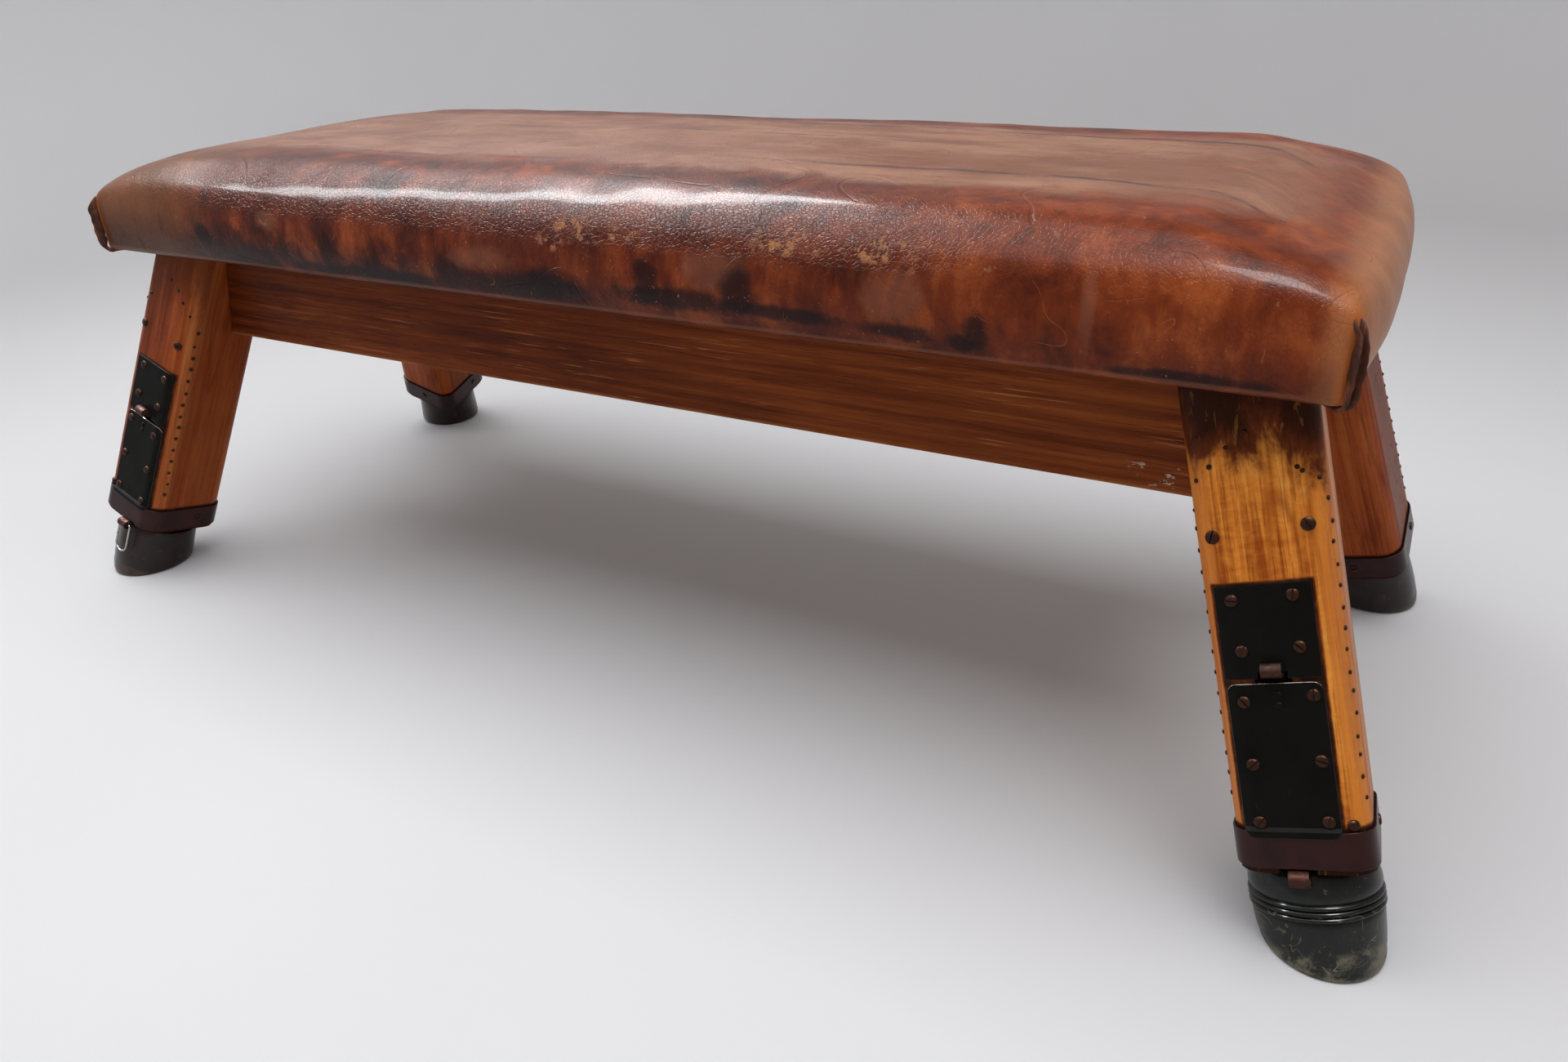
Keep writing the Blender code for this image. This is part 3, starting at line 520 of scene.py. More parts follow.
def make_rubber(name, base, scuff, seed, rough=0.26, scratched=0.0):
    """Moulded rubber, dull in places, with pale scuffs, dust and curved scratches."""
    s = Shader(name, Specular_IOR_Level=0.12, Coat_Weight=0.35, Coat_Roughness=0.10)
    cloud = s.noise(45, 5, 0.6, seed)
    scuffs = s.mask(s.noise(60, 6, 0.72, seed + 1, (1, 1, 1.8)), 0.60, 0.68)
    dust = s.mask(s.noise(380, 3, 0.6, seed + 2), 0.58, 0.75)
    low = s.mask(s.z, 0.030, 0.004)
    sole = s.times(s.mask(s.z, 0.012, 0.002), s.mask(s.noise(50, 4, 0.6, seed + 3), 0.40, 0.56))
    colour = s.mix(s.mask(cloud, 0.4, 0.65), base, tuple(1.5 * c for c in base[:3]) + (1.0,))
    colour = s.mix(s.times(scuffs, 0.40), colour, scuff)
    colour = s.mix(s.times(dust, s.plus(0.05, s.times(low, 0.25))), colour, scuff)
    colour = s.mix(s.times(sole, 0.45), colour, scuff)
    marks = scuffs
    if scratched:
        curved = s.most(s.hairline(24, 0.007, seed + 4, (1, 1, 0.7), 1.2), s.hairline(38, 0.006, seed + 5))
        curved = s.times(curved, s.mask(s.noise(34, 2, 0.5, seed + 6), 0.50, 0.58), s.mask(s.z, 0.046, 0.040))
        colour = s.mix(s.times(curved, scratched), colour, scuff)
        marks = s.most(scuffs, curved)
    roughness = s.plus(rough, s.times(cloud, 0.16), s.times(marks, 0.3), s.times(sole, 0.3))
    height = s.plus(s.times(cloud, 0.5), s.times(s.noise(260, 4), 0.2), s.times(marks, 0.2))
    return s.done(colour, roughness, s.bump(height, 0.0004))


def make_felt():
    """Matted hair of the stuffing."""
    s = Shader("horsehair_felt", False, Sheen_Weight=0.4, Sheen_Roughness=0.6)
    hairs = s.noise(700, 5, 0.7, 2.0, (1, 0.3, 1), 1.2)
    colour = s.mix(hairs, tone(96, 74, 52), tone(176, 152, 118))
    return s.done(colour, s.plus(0.85, s.times(hairs, 0.1)), s.bump(hairs, 0.002))


def make_floor():
    """Pale matt floor and wall of the studio."""
    s = Shader("studio_floor", False, Specular_IOR_Level=0.2)
    cloud = s.noise(1.5, 3, 0.5)
    colour = s.mix(cloud, tone(226, 228, 232), tone(221, 223, 228))
    return s.done(colour, s.plus(0.70, s.times(cloud, 0.1)))


LEATHER = make_leather()
FLAP = make_flap()
RAIL_WOOD = make_wood("rail_wood", tone(70, 26, 7), tone(98, 41, 12), tone(126, 60, 20), 2.0, 0.10,
                      along=0, rail_wear_and_light=True)
DECK_WOOD = make_wood("deck_wood", tone(92, 62, 38), tone(150, 112, 72), tone(186, 150, 106), 5.0,
                      rough=0.6, along=0)
HONEY_WOOD = make_wood("honey_wood", tone(156, 74, 20), tone(226, 138, 52), tone(246, 184, 92), 11.0,
                       0.80, 0.14, 0.28, corner=tone(190, 108, 58), soot_and_shade_level=0.9, middle=PLATE_OFFSET)
RED_WOODS = {
    side: make_wood("red_wood", tone(100, 40, 15), tone(144, 66, 28), tone(172, 92, 44), 23.0, 0.45, 0.06,
                    0.30, corner=tone(178, 108, 58), soot_and_shade_level=0.4, middle=-side * PLATE_OFFSET)
    for side in (-1, 1)
}
POST_WOOD = make_wood("post_wood", tone(70, 30, 14), tone(120, 60, 28), tone(156, 92, 50), 31.0, rough=0.42)
PLATE_STEEL = make_lacquer("plate_steel", tone(15, 14, 11), tone(58, 42, 32), 1.0, 0.36, 0.0, 0.67,
                           0.03, 0.06)
PLATE_EDGE = make_plate_edge()
BAND_STEEL = make_lacquer("band_steel", tone(48, 17, 13), tone(96, 52, 40), 4.0, 0.26, 0.0, 0.66, 0.22, 0.10)
LEVER_STEEL = make_steel("lever_steel", tone(76, 44, 33), tone(36, 17, 12), 6.0, 0.36, 0.46, 0.8)
SPRING_STEEL = make_steel("spring_steel", tone(150, 146, 142), tone(70, 48, 34), 7.0)
PIN_STEEL = make_steel("pin_steel", tone(180, 176, 170), tone(90, 66, 48), 8.0, 0.2)
RING_STEEL = make_steel("ring_wire", tone(196, 192, 186), tone(96, 72, 56), 9.0, 0.18)
DARK_RING_STEEL = make_steel("ring_wire_dark", tone(74, 62, 58), tone(24, 17, 15), 9.5, 0.26)
NAIL_STEEL = make_steel("nail_heads", tone(66, 44, 34), tone(24, 13, 9), 10.0, 0.3)
SCREW_STEEL = make_steel("screw_heads", tone(70, 48, 38), tone(30, 18, 13), 12.0, 0.34)
BOOT_RUBBER = make_rubber("ridged_rubber", tone(17, 20, 16), tone(150, 142, 116), 13.0, 0.22, 0.5)
CUP_RUBBER = make_rubber("cup_rubber", tone(30, 18, 16), tone(96, 76, 62), 14.0, 0.24)
FELT = make_felt()


# ---------------------------------------------------------------- mesh helpers

def add_mesh(name, bm, material, matrix=None):
    """Named object from a bmesh, which a matrix takes from its piece's frame to the world."""
    bmesh.ops.recalc_face_normals(bm, faces=bm.faces)
    mesh = bpy.data.meshes.new(name)
    bm.to_mesh(mesh)
    bm.free()
    mesh.materials.append(material)
    own = mesh.attributes.new(PLACE, "FLOAT_VECTOR", "POINT")
    own.data.foreach_set("vector", [value for vert in mesh.vertices for value in vert.co])
    if matrix is not None:
        mesh.transform(matrix)
    obj = bpy.data.objects.new(name, mesh)
    bpy.context.scene.collection.objects.link(obj)
    return obj


def smooth(obj, angle):
    """Smooth shading up to an angle in degrees."""
    obj.data.shade_smooth()
    obj.data.set_sharp_from_angle(angle=math.radians(angle))


def bevel(obj, width, angle, segments=2, material=-1):
    """Round the edges that are sharper than an angle in degrees."""
    modifier = obj.modifiers.new("edges", "BEVEL")
    modifier.width = width
    modifier.segments = segments
    modifier.limit_method = "ANGLE"
    modifier.angle_limit = math.radians(angle)
    modifier.harden_normals = True
    modifier.material = material


def place(obj, body, slot, *nodes):
    """Attach a piece to its body and hide the CAD nodes it stands for; the slot is not used."""
    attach(obj, body)
    if nodes:
        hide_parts(*nodes)


def remake(node, body, slot, material, matrix=None, width=0.0008, segments=2):
    """Finer copy of a CAD node in its leg's frame, with rounded edges."""
    bm = bmesh.new()
    bm.from_mesh(frame["nodes"][node].data)
    bmesh.ops.remove_doubles(bm, verts=bm.verts, dist=0.00002)
    bmesh.ops.dissolve_limit(bm, angle_limit=math.radians(1), verts=bm.verts, edges=bm.edges)
    if matrix is not None:
        bm.transform(matrix.inverted())
    obj = add_mesh(node + "_skin", bm, material, matrix)
    smooth(obj, 30)
    bevel(obj, width, 30, segments)
    place(obj, body, slot, node)


def bridge(bm, ring_a, ring_b):
    """Faces between two rings of as many points."""
    count = len(ring_a)
    for i in range(count):
        j = (i + 1) % count
        bm.faces.new((ring_a[i], ring_a[j], ring_b[j], ring_b[i]))


def loft(bm, rings):
    """Skin through rings of points, closed with a cap at both ends."""
    layers = [[bm.verts.new(point) for point in ring] for ring in rings]
    bm.faces.new(layers[0])
    for near, far in zip(layers, layers[1:]):
        bridge(bm, near, far)
    bm.faces.new(layers[-1])


def hoop(bm, rings):
    """Skin through rings of points, whose last ring meets the first."""
    layers = [[bm.verts.new(point) for point in ring] for ring in rings]
    for near, far in zip(layers, layers[1:] + layers[:1]):
        bridge(bm, near, far)


def around(count, shift=0.0):
    """Evenly spaced angles of a full turn."""
    return [2 * math.pi * (i + shift) / count for i in range(count)]


def direction(path, i):
    """Unit vector along an open path at its point i."""
    return (path[min(i + 1, len(path) - 1)] - path[max(i - 1, 0)]).normalized()


def arc(centre, radius, start, end, steps):
    """Points on a circle from one angle to another, in degrees."""
    points = []
    for i in range(steps + 1):
        angle = math.radians(start + (end - start) * i / steps)
        points.append((centre[0] + radius * math.cos(angle), centre[1] + radius * math.sin(angle)))
    return points


def rounded_rectangle(half_x, half_y, radius, steps):
    """Outline of a rectangle with round corners."""
    points = []
    for side_x, side_y, start in ((1, 1, 0), (-1, 1, 90), (-1, -1, 180), (1, -1, 270)):
        corner = (side_x * (half_x - radius), side_y * (half_y - radius))
        points += arc(corner, radius, start, start + 90, steps)
    return points


def facing(point, normal, spin=0.0):
    """Matrix that puts local +Z along a normal at a point, turned about it by spin degrees."""
    turn = Vector(normal).to_track_quat("Z", "Y").to_matrix().to_4x4()
    return Matrix.Translation(point) @ turn @ Matrix.Rotation(math.radians(spin), 4, "Z")


# ---------------------------------------------------------------- leg frames

def side_sign(leg):
    """+1 where the leg's local +X points away from the middle of the horse."""
    side_x, side_y = SIDES[leg]
    return side_x * side_y


def leg_matrix(leg):
    """The leg's frame, read from the axes of its slide and latch joints."""
    slide, latch = JOINTS[leg + "_leg_slide"], JOINTS[leg + "_latch_pull"]
    up = -Vector(slide["axis"]).normalized()
    across = Vector(latch["axis"]).normalized()
    out = up.cross(across)
    middle = -side_sign(leg) * PLATE_OFFSET
    foot = Vector(latch["pos_m"]) - across * middle - out * PIVOT_Y - up * PIVOT_Z
    return Matrix.Translation(foot) @ Matrix((across, out, up)).transposed().to_4x4()


def local_box(node, matrix):
    """Lowest and highest corner of a CAD node in a leg's frame."""
    back = matrix.inverted()
    points = [back @ vert.co for vert in frame["nodes"][node].data.vertices]
    low = Vector([min(p[i] for p in points) for i in range(3)])
    high = Vector([max(p[i] for p in points) for i in range(3)])
    return low, high


def face_depth(x):
    """Local y of the latch face at x, which falls away round the corner."""
    over = abs(x) - (LEG_HALF[0] - LEG_CORNER)
    if over <= 0:
        return LEG_HALF[1]
    over = min(over, LEG_CORNER)
    return LEG_HALF[1] - LEG_CORNER + math.sqrt(LEG_CORNER ** 2 - over ** 2)


# ---------------------------------------------------------------- padded top

def quarter(value):
    """Height of a quarter circle over a share from its rim to its middle."""
    value = min(max(value, 0.0), 1.0)
    return math.sqrt(max(0.0, 1 - (1 - value) ** 2))


def pad_height(x, y):
    """Height of the leather over a point of the pad."""
    shoulder = quarter((PAD_HALF[0] - abs(x)) / SHOULDER_RUN[0])
    shoulder *= quarter((PAD_HALF[1] - abs(y)) / SHOULDER_RUN[1])
    crown = (1 - (x / PAD_HALF[0]) ** 2) * (1 - (y / PAD_HALF[1]) ** 2)
    return PAD_BOTTOM + CORNER_HEIGHT + SHOULDER_HEIGHT * shoulder + CROWN * crown


def crowded(count):
    """Positions from -1 to 1, closer together near the ends."""
    values = []
    for i in range(count + 1):
        s = 2 * i / count - 1
        values.append(math.copysign(1 - (1 - abs(s)) ** 1.35, s))
    return values


def rounded(x, y):
    """Pull a point near a square corner of the pad in to a rounded one."""
    over_x = abs(x) - (PAD_HALF[0] - CORNER_ROUND)
    over_y = abs(y) - (PAD_HALF[1] - CORNER_ROUND)
    if over_x <= 0 or over_y <= 0:
        return x, y
    pull = max(over_x, over_y) / math.hypot(over_x, over_y)
    round_x = PAD_HALF[0] - CORNER_ROUND + over_x * pull
    round_y = PAD_HALF[1] - CORNER_ROUND + over_y * pull
    return math.copysign(round_x, x), math.copysign(round_y, y)


def bulge(x, y, share):
    """How far the stuffing pushes a wall out at a share of its height."""
    if share < 0.5:
        amount = math.sin(math.pi * share)
    else:
        amount = 1 - (1 - EDGE_BULGE) * (2 * share - 1) ** 2
    out_x = END_BULGE * amount * (1 - (y / PAD_HALF[1]) ** 4)
    out_y = SIDE_BULGE * amount * (1 - (x / PAD_HALF[0]) ** 8)
    return math.copysign(out_x, x), math.copysign(out_y, y)


def pushed(x, y, share):
    """Where the stuffing pushes a point that stands at a share of the wall's height."""
    out_x, out_y = bulge(x, y, share)
    fade_x = max(0.0, 1 - (PAD_HALF[0] - abs(x)) / SHOULDER_RUN[0]) ** 2
    fade_y = max(0.0, 1 - (PAD_HALF[1] - abs(y)) / SHOULDER_RUN[1]) ** 2
    base_x, base_y = rounded(x, y)
    return base_x + out_x * fade_x, base_y + out_y * fade_y


def pad_sheet():
    """Leather as an open sheet: crowned top, bulging walls and the edge turned under."""
    bm = bmesh.new()
    across = [u * PAD_HALF[0] for u in crowded(round(2 * PAD_HALF[0] / PAD_STEP))]
    along = [v * PAD_HALF[1] for v in crowded(round(2 * PAD_HALF[1] / PAD_STEP))]
    rows = []
    for y in along:
        start = PAD_SHRINK * quarter(2 - 2 * abs(y / PAD_HALF[1]))
        rows.append([bm.verts.new((*pushed(x, y, 1.0), pad_height(x, y) - start)) for x in across])
    for low, high in zip(rows, rows[1:]):
        for i in range(len(across) - 1):
            bm.faces.new((low[i], low[i + 1], high[i + 1], high[i]))
    previous = rows[0] + [row[-1] for row in rows[1:-1]] + rows[-1][::-1] + [row[0] for row in rows[-2:0:-1]]
    border = [(x, along[0]) for x in across] + [(across[-1], y) for y in along[1:-1]]
    border += [(x, along[-1]) for x in across[::-1]] + [(across[0], y) for y in along[-2:0:-1]]
    count = round(CORNER_HEIGHT / PAD_STEP)
    rings = []
    for k in range(1, count + 1):
        share = 1 - k / count
        z = PAD_BOTTOM + CORNER_HEIGHT * share
        rings.append([(*pushed(x, y, share), z) for x, y in border])
    for inset in (0.004, 0.012, LIP):
        share_x, share_y = (1 - inset / half for half in PAD_HALF)
        corners = [rounded(x, y) for x, y in border]
        rings.append([(x * share_x, y * share_y, PAD_BOTTOM) for x, y in corners])
    for points in rings:
        ring = [bm.verts.new(point) for point in points]
        bridge(bm, previous, ring)
        previous = ring
    return bm


def swell(obj):
    """Cloth under pressure, pinned along its lower edge, with each point's travel capped."""
    rest = [(vert.co.copy(), vert.normal.copy()) for vert in obj.data.vertices]
    pinned = obj.vertex_groups.new(name="pinned")
    for vert in obj.data.vertices:
        lift = (vert.co.z - PAD_BOTTOM) / 0.030
        from_edge = min(PAD_HALF[0] - abs(vert.co.x), PAD_HALF[1] - abs(vert.co.y))
        hold = max(1 - lift, 0.0)
        near_corner = abs(vert.co.x) > PAD_HALF[0] - 0.02 and abs(vert.co.y) > PAD_HALF[1] - 0.02
        if near_corner:
            hold = max(hold, 0.8)
        if hold > 0 and from_edge < 0.05:
            pinned.add([vert.index], min(hold, 1.0), "REPLACE")
    cloth = obj.modifiers.new("cloth", "CLOTH")
    settings = cloth.settings
    settings.quality = 5
    settings.mass = 0.4
    settings.tension_stiffness = 20
    settings.compression_stiffness = 12
    settings.shear_stiffness = 8
    settings.bending_stiffness = 4
    settings.vertex_group_mass = "pinned"
    settings.use_pressure = True
    settings.uniform_pressure_force = PAD_PRESSURE
    settings.effector_weights.gravity = 0
    cloth.collision_settings.use_collision = False
    scene = bpy.context.scene
    for step in range(1, SWELL_FRAMES + 1):
        scene.frame_set(step)
    moved = obj.evaluated_get(bpy.context.evaluated_depsgraph_get())
    places = [vert.co.copy() for vert in moved.data.vertices]
    obj.modifiers.remove(cloth)
    scene.frame_set(1)
    for vert, (start, normal), end in zip(obj.data.vertices, rest, places):
        outward = (end - start).dot(normal)
        along = (end - start) - normal * outward
        if along.length > PAD_CAP / 4:
            along = along.normalized() * PAD_CAP / 4
        vert.co = start + along + normal * min(max(outward, 0.0), PAD_CAP)
    obj.vertex_groups.clear()


def relax(obj, rounds):
    """Even out creases above the lower edge."""
    bm = bmesh.new()
    bm.from_mesh(obj.data)
    free = [vert for vert in bm.verts if vert.co.z > PAD_BOTTOM + 0.004]
    for _ in range(rounds):
        bmesh.ops.smooth_vert(bm, verts=free, factor=0.5, use_axis_x=True, use_axis_y=True, use_axis_z=True)
    bm.to_mesh(obj.data)
    bm.free()


def settle(obj):
    """Soft hollows and folds of old stuffing, a few millimetres deep."""
    for vert in obj.data.vertices:
        p = vert.co.copy()
        if p.z < PAD_BOTTOM + 0.004:
            continue
        wall = max(abs(p.x) / PAD_HALF[0], abs(p.y) / PAD_HALF[1]) > 0.995
        hollow = noise.noise(Vector((p.x * 5.0, p.y * 6.5, 1.3))) * 0.0022
        ripple = noise.noise(Vector((p.x * 17.0, p.y * 14.0, p.z * 14.0))) * 0.0009
        if wall:
            vert.co += vert.normal * (hollow * 0.6 + ripple)
        else:
            vert.co.z += hollow + ripple


def make_pad():
    """Leather cover, swollen by its stuffing, with a thickness."""
    obj = add_mesh("leather_pad", pad_sheet(), LEATHER)
    obj.data.shade_smooth()
    swell(obj)
    relax(obj, 10)
    settle(obj)
    thick = obj.modifiers.new("hide", "SOLIDIFY")
    thick.thickness = HIDE
    thick.offset = -1
    fine = obj.modifiers.new("fine", "SUBSURF")
    fine.levels = 1
    fine.render_levels = 1
    place(obj, "frame", "leather", "leather_cover")


def make_corner(name, side_x, side_y):
    """Gathered corner: two thin plies of hide side by side, wavy, and curled in under the pad."""
    outward = Vector((side_x, side_y, 0)).normalized()
    sideways = Vector((-outward.y, outward.x, 0))
    corner = Vector((*rounded(side_x * PAD_HALF[0], side_y * PAD_HALF[1]), 0))
    top = PAD_BOTTOM + CORNER_HEIGHT - 0.003
    bend = top - 0.016
    path = [(-0.0040 + 0.0090 * math.sin(math.pi / 2 * k / 8), top - 0.016 * k / 8) for k in range(9)]
    path += [(0.0050, bend - (top - 0.022 - PAD_BOTTOM) * k / 20) for k in range(1, 21)]
    path += arc((-0.0035, PAD_BOTTOM + 0.006), 0.0085, 0, -90, 8)[1:]
    path += [(-0.0035 - 0.014 * k / 6, PAD_BOTTOM - 0.0025 + 0.0006 * k / 6) for k in range(1, 7)]
    path = [Vector(point) for point in path]
    last = len(path) - 1
    bm = bmesh.new()
    for ply in (-1, 1):
        rings = []
        for k, spot in enumerate(path):
            share = k / last
            along = direction(path, k)
            across = Vector((-along.y, along.x))
            wave = noise.noise(Vector((share * 9.0, ply * 3.1, side_x + 2 * side_y)))
            half = 0.0020 + 0.0034 * math.sin(math.pi * min(share * 1.25 + 0.08, 1.0)) ** 0.7
            half *= 1 + 0.45 * wave
            thick = 0.00125 if 0 < k < last else 0.0006
            bulging = 0.0012 + 0.0016 * math.sin(math.pi * share) * (1.4 if ply * side_x > 0 else 0.6)
            shift = ply * bulging + 0.0016 * noise.noise(Vector((share * 11.0, ply * 7.7, side_y * 2.0)))
            ring = []
            for angle in around(20):
                splay = ply * 0.25 * math.cos(angle) * half
                flat = spot + across * math.cos(angle) * half
                point = corner + outward * flat.x + sideways * (shift + splay + math.sin(angle) * thick)
                ring.append((point.x, point.y, flat.y))
            rings.append(ring)
        loft(bm, rings)
    obj = add_mesh(name, bm, FLAP)
    smooth(obj, 60)
    place(obj, "frame", "leather")


def dress_top():
    """Leather, its gathered corners, and the boards under it."""
    make_pad()
    for label_y, side_y in (("front", -1), ("back", 1)):
        for label_x, side_x in (("left", -1), ("right", 1)):
            make_corner("leather_corner_" + label_y + "_" + label_x, side_x, side_y)
    frame["nodes"]["pad_filling"].data.materials.clear()
    frame["nodes"]["pad_filling"].data.materials.append(FELT)
    for node in ("deck_board", "deck_batten_left", "deck_batten_right"):
        remake(node, "frame", "deck_wood", DECK_WOOD, width=0.0015)
    for node in ("long_rail_front", "long_rail_back", "end_rail_left", "end_rail_right"):
        remake(node, "frame", "rail_wood", RAIL_WOOD, width=0.0025, segments=3)


# ---------------------------------------------------------------- fasteners

def head_into(bm, matrix, radius, height, sides=18):
    """Add one domed head."""
    profile = [(radius * 0.93, -SINK)]
    for i in range(5):
        angle = math.radians(90 * i / 5)
        profile.append((radius * math.cos(angle), height * math.sin(angle)))
    rings = []
    for r, h in profile:
        turns = around(sides, 0.5)
        rings.append([matrix @ Vector((r * math.cos(turn), r * math.sin(turn), h)) for turn in turns])
    loft(bm, rings)


def slotted_into(bm, matrix, radius, height, sides=28):
    """Raised screw head built as two half domes with a straight slot between them."""
    half_slot = radius * 0.11
    floor = height * 0.25
    for side in (1, -1):
        outline = []
        for r_share, h_share in ((1.0, 0.0), (0.97, 0.45), (0.80, 0.82), (0.45, 1.0)):
            ring = []
            reach = radius * r_share
            start = math.asin(min(1.0, half_slot / reach))
            for i in range(sides // 2 + 1):
                angle = start + (math.pi - 2 * start) * i / (sides // 2)
                point = Vector((reach * math.cos(angle), side * reach * math.sin(angle), height * h_share))
                ring.append(bm.verts.new(matrix @ point))
            outline.append(ring)
        sunk = matrix.to_3x3() @ Vector((0, 0, SINK))
        bottom = [bm.verts.new(vert.co - sunk) for vert in outline[0]]
        layers = [bottom] + outline
        for near, far in zip(layers, layers[1:]):
            bridge(bm, near, far)
        bm.faces.new(bottom)
        bm.faces.new(outline[-1])
    ring_low, ring_high = [], []
    for angle in around(sides):
        x, y = radius * 0.95 * math.cos(angle), radius * 0.95 * math.sin(angle)
        ring_low.append(bm.verts.new(matrix @ Vector((x, y, -SINK))))
        ring_high.append(bm.verts.new(matrix @ Vector((x, y, floor))))
    bridge(bm, ring_low, ring_high)
    bm.faces.new(ring_low)
    bm.faces.new(ring_high)


def corner_place(side, angle, z):
    """Point and outward normal on the rounded corner of the latch face."""
    turn = math.radians(angle)
    x = LEG_HALF[0] - LEG_CORNER + LEG_CORNER * math.cos(turn)
    y = LEG_HALF[1] - LEG_CORNER + LEG_CORNER * math.sin(turn)
    return Vector((side * x, y, z)), Vector((side * math.cos(turn), math.sin(turn), 0))


def face_place(x, z):
    """Point and outward normal on the latch face, round its corners too."""
    over = abs(x) - (LEG_HALF[0] - LEG_CORNER)
    if over <= 0:
        return Vector((x, LEG_HALF[1], z)), Vector((0, 1, 0))
    turn = math.degrees(math.acos(min(over / LEG_CORNER, 1.0)))
    return corner_place(math.copysign(1, x), turn, z)


def make_nails(leg, matrix):
    """Nails down both corners of the face board, and an arch of them under the pad."""
    dice = random.Random("nails " + leg)
    inward = -side_sign(leg)
    size = 1.0 if leg == RIDGED_LEG else 1.25
    bm = bmesh.new()
    for side, start, angle in ((inward, 0.392, 14), (-inward, 0.390, 27)):
        z = start
        while z > 0.128:
            turn = angle + dice.uniform(-4, 4)
            point, normal = corner_place(side, turn, z + dice.uniform(-0.0015, 0.0015))
            head_into(bm, facing(point, normal), dice.uniform(0.0017, 0.0022) * size, 0.0011 * size)
            z -= NAIL_PITCH
    for x, z in ARCH_NAILS:
        beside = inward * (x + dice.uniform(-0.001, 0.001))
        point, normal = face_place(beside, z + dice.uniform(-0.002, 0.002))
        head_into(bm, facing(point, normal), dice.uniform(0.0018, 0.0024), 0.0012)
    point, normal = face_place(inward * BIG_NAIL[0], BIG_NAIL[1])
    head_into(bm, facing(point, normal), 0.0050, 0.0028, sides=24)
    obj = add_mesh(leg + "_nails", bm, NAIL_STEEL, matrix)
    smooth(obj, 50)
    place(obj, "frame", "band_steel")


def make_screws(leg, matrix):
    """Slotted screws through the plates, the face board and the band."""
    dice = random.Random("screws " + leg)
    inward = -side_sign(leg)
    bm = bmesh.new()
    for x, z in PLATE_SCREWS:
        spot = facing((inward * x, PLATE_FRONT, z), (0, 1, 0), dice.uniform(0, 180))
        slotted_into(bm, spot, 0.0054, 0.0021)
    for x, z in BOARD_SCREWS:
        point, normal = face_place(inward * x, z)
        slotted_into(bm, facing(point, normal, dice.uniform(0, 180)), 0.0058, 0.0022)
    band_middle = (BAND[0] + BAND[1]) / 2
    for side in (1, -1):
        spot = facing((side * (LEG_HALF[0] + GAP + STEEL), 0.018 * side, band_middle), (side, 0, 0), 40)
        slotted_into(bm, spot, 0.0050, 0.0018)
    spot = facing((0.0, -PLATE_FRONT, band_middle), (0, -1, 0), 20)
    slotted_into(bm, spot, 0.0052, 0.0020)
    obj = add_mesh(leg + "_screws", bm, SCREW_STEEL, matrix)
    smooth(obj, 40)
    place(obj, "frame", "band_steel")


def make_rivets(leg, matrix):
    """Two rivets that hold the leaf spring behind the lower plate."""
    bm = bmesh.new()
    inward = -side_sign(leg)
    for x, z in RIVETS:
        spot = facing((inward * x, PLATE_FRONT, z), (0, 1, 0))
        head_into(bm, spot, 0.0032, 0.0014)
    obj = add_mesh(leg + "_spring_rivets", bm, PLATE_STEEL, matrix)
    smooth(obj, 50)
    place(obj, "frame", "lever_steel")


# ---------------------------------------------------------------- legs

def make_band(leg, matrix):
    """Steel band round the lower end of the leg's box."""
    outer = rounded_rectangle(LEG_HALF[0] + GAP + STEEL, PLATE_FRONT, LEG_CORNER + STEEL, 12)
    inner = rounded_rectangle(LEG_HALF[0] + GAP, LEG_HALF[1] + GAP, LEG_CORNER, 12)
    bm = bmesh.new()
    profile = ((outer, BAND[0]), (outer, BAND[1]), (inner, BAND[1]), (inner, BAND[0]))
    hoop(bm, [[(x, y, z) for x, y in outline] for outline, z in profile])
    obj = add_mesh(leg + "_band_skin", bm, BAND_STEEL, matrix)
    smooth(obj, 30)
    bevel(obj, 0.0006, 50)
    place(obj, "frame", "band_steel", leg + "_band")


def plate_into(bm, columns, levels, depth_at, present):
    """Plate as a grid of small cells between its back and its front, with some cells left out."""
    layers = []
    for lift in (0.0, STEEL):
        grid = []
        for z, pull in levels:
            row = []
            for x in columns:
                place_x = x(pull) if callable(x) else x
                row.append(bm.verts.new((place_x, depth_at(place_x, z) + lift, z)))
            grid.append(row)
        layers.append(grid)
    back, front = layers
    rows, cells = len(levels) - 1, len(columns) - 1

    def kept(j, i):
        return 0 <= j < rows and 0 <= i < cells and present(j, i)

    for j in range(rows):
        for i in range(cells):
            if not kept(j, i):
                continue
            for grid in layers:
                bm.faces.new((grid[j][i], grid[j][i + 1], grid[j + 1][i + 1], grid[j + 1][i]))
            sides = (((j - 1, i), (j, i), (j, i + 1)), ((j + 1, i), (j + 1, i + 1), (j + 1, i)),
                     ((j, i - 1), (j + 1, i), (j, i)), ((j, i + 1), (j, i + 1), (j + 1, i + 1)))
            for beyond, (ja, ia), (jb, ib) in sides:
                if not kept(*beyond):
                    bm.faces.new((back[ja][ia], back[jb][ib], front[jb][ib], front[ja][ia]))


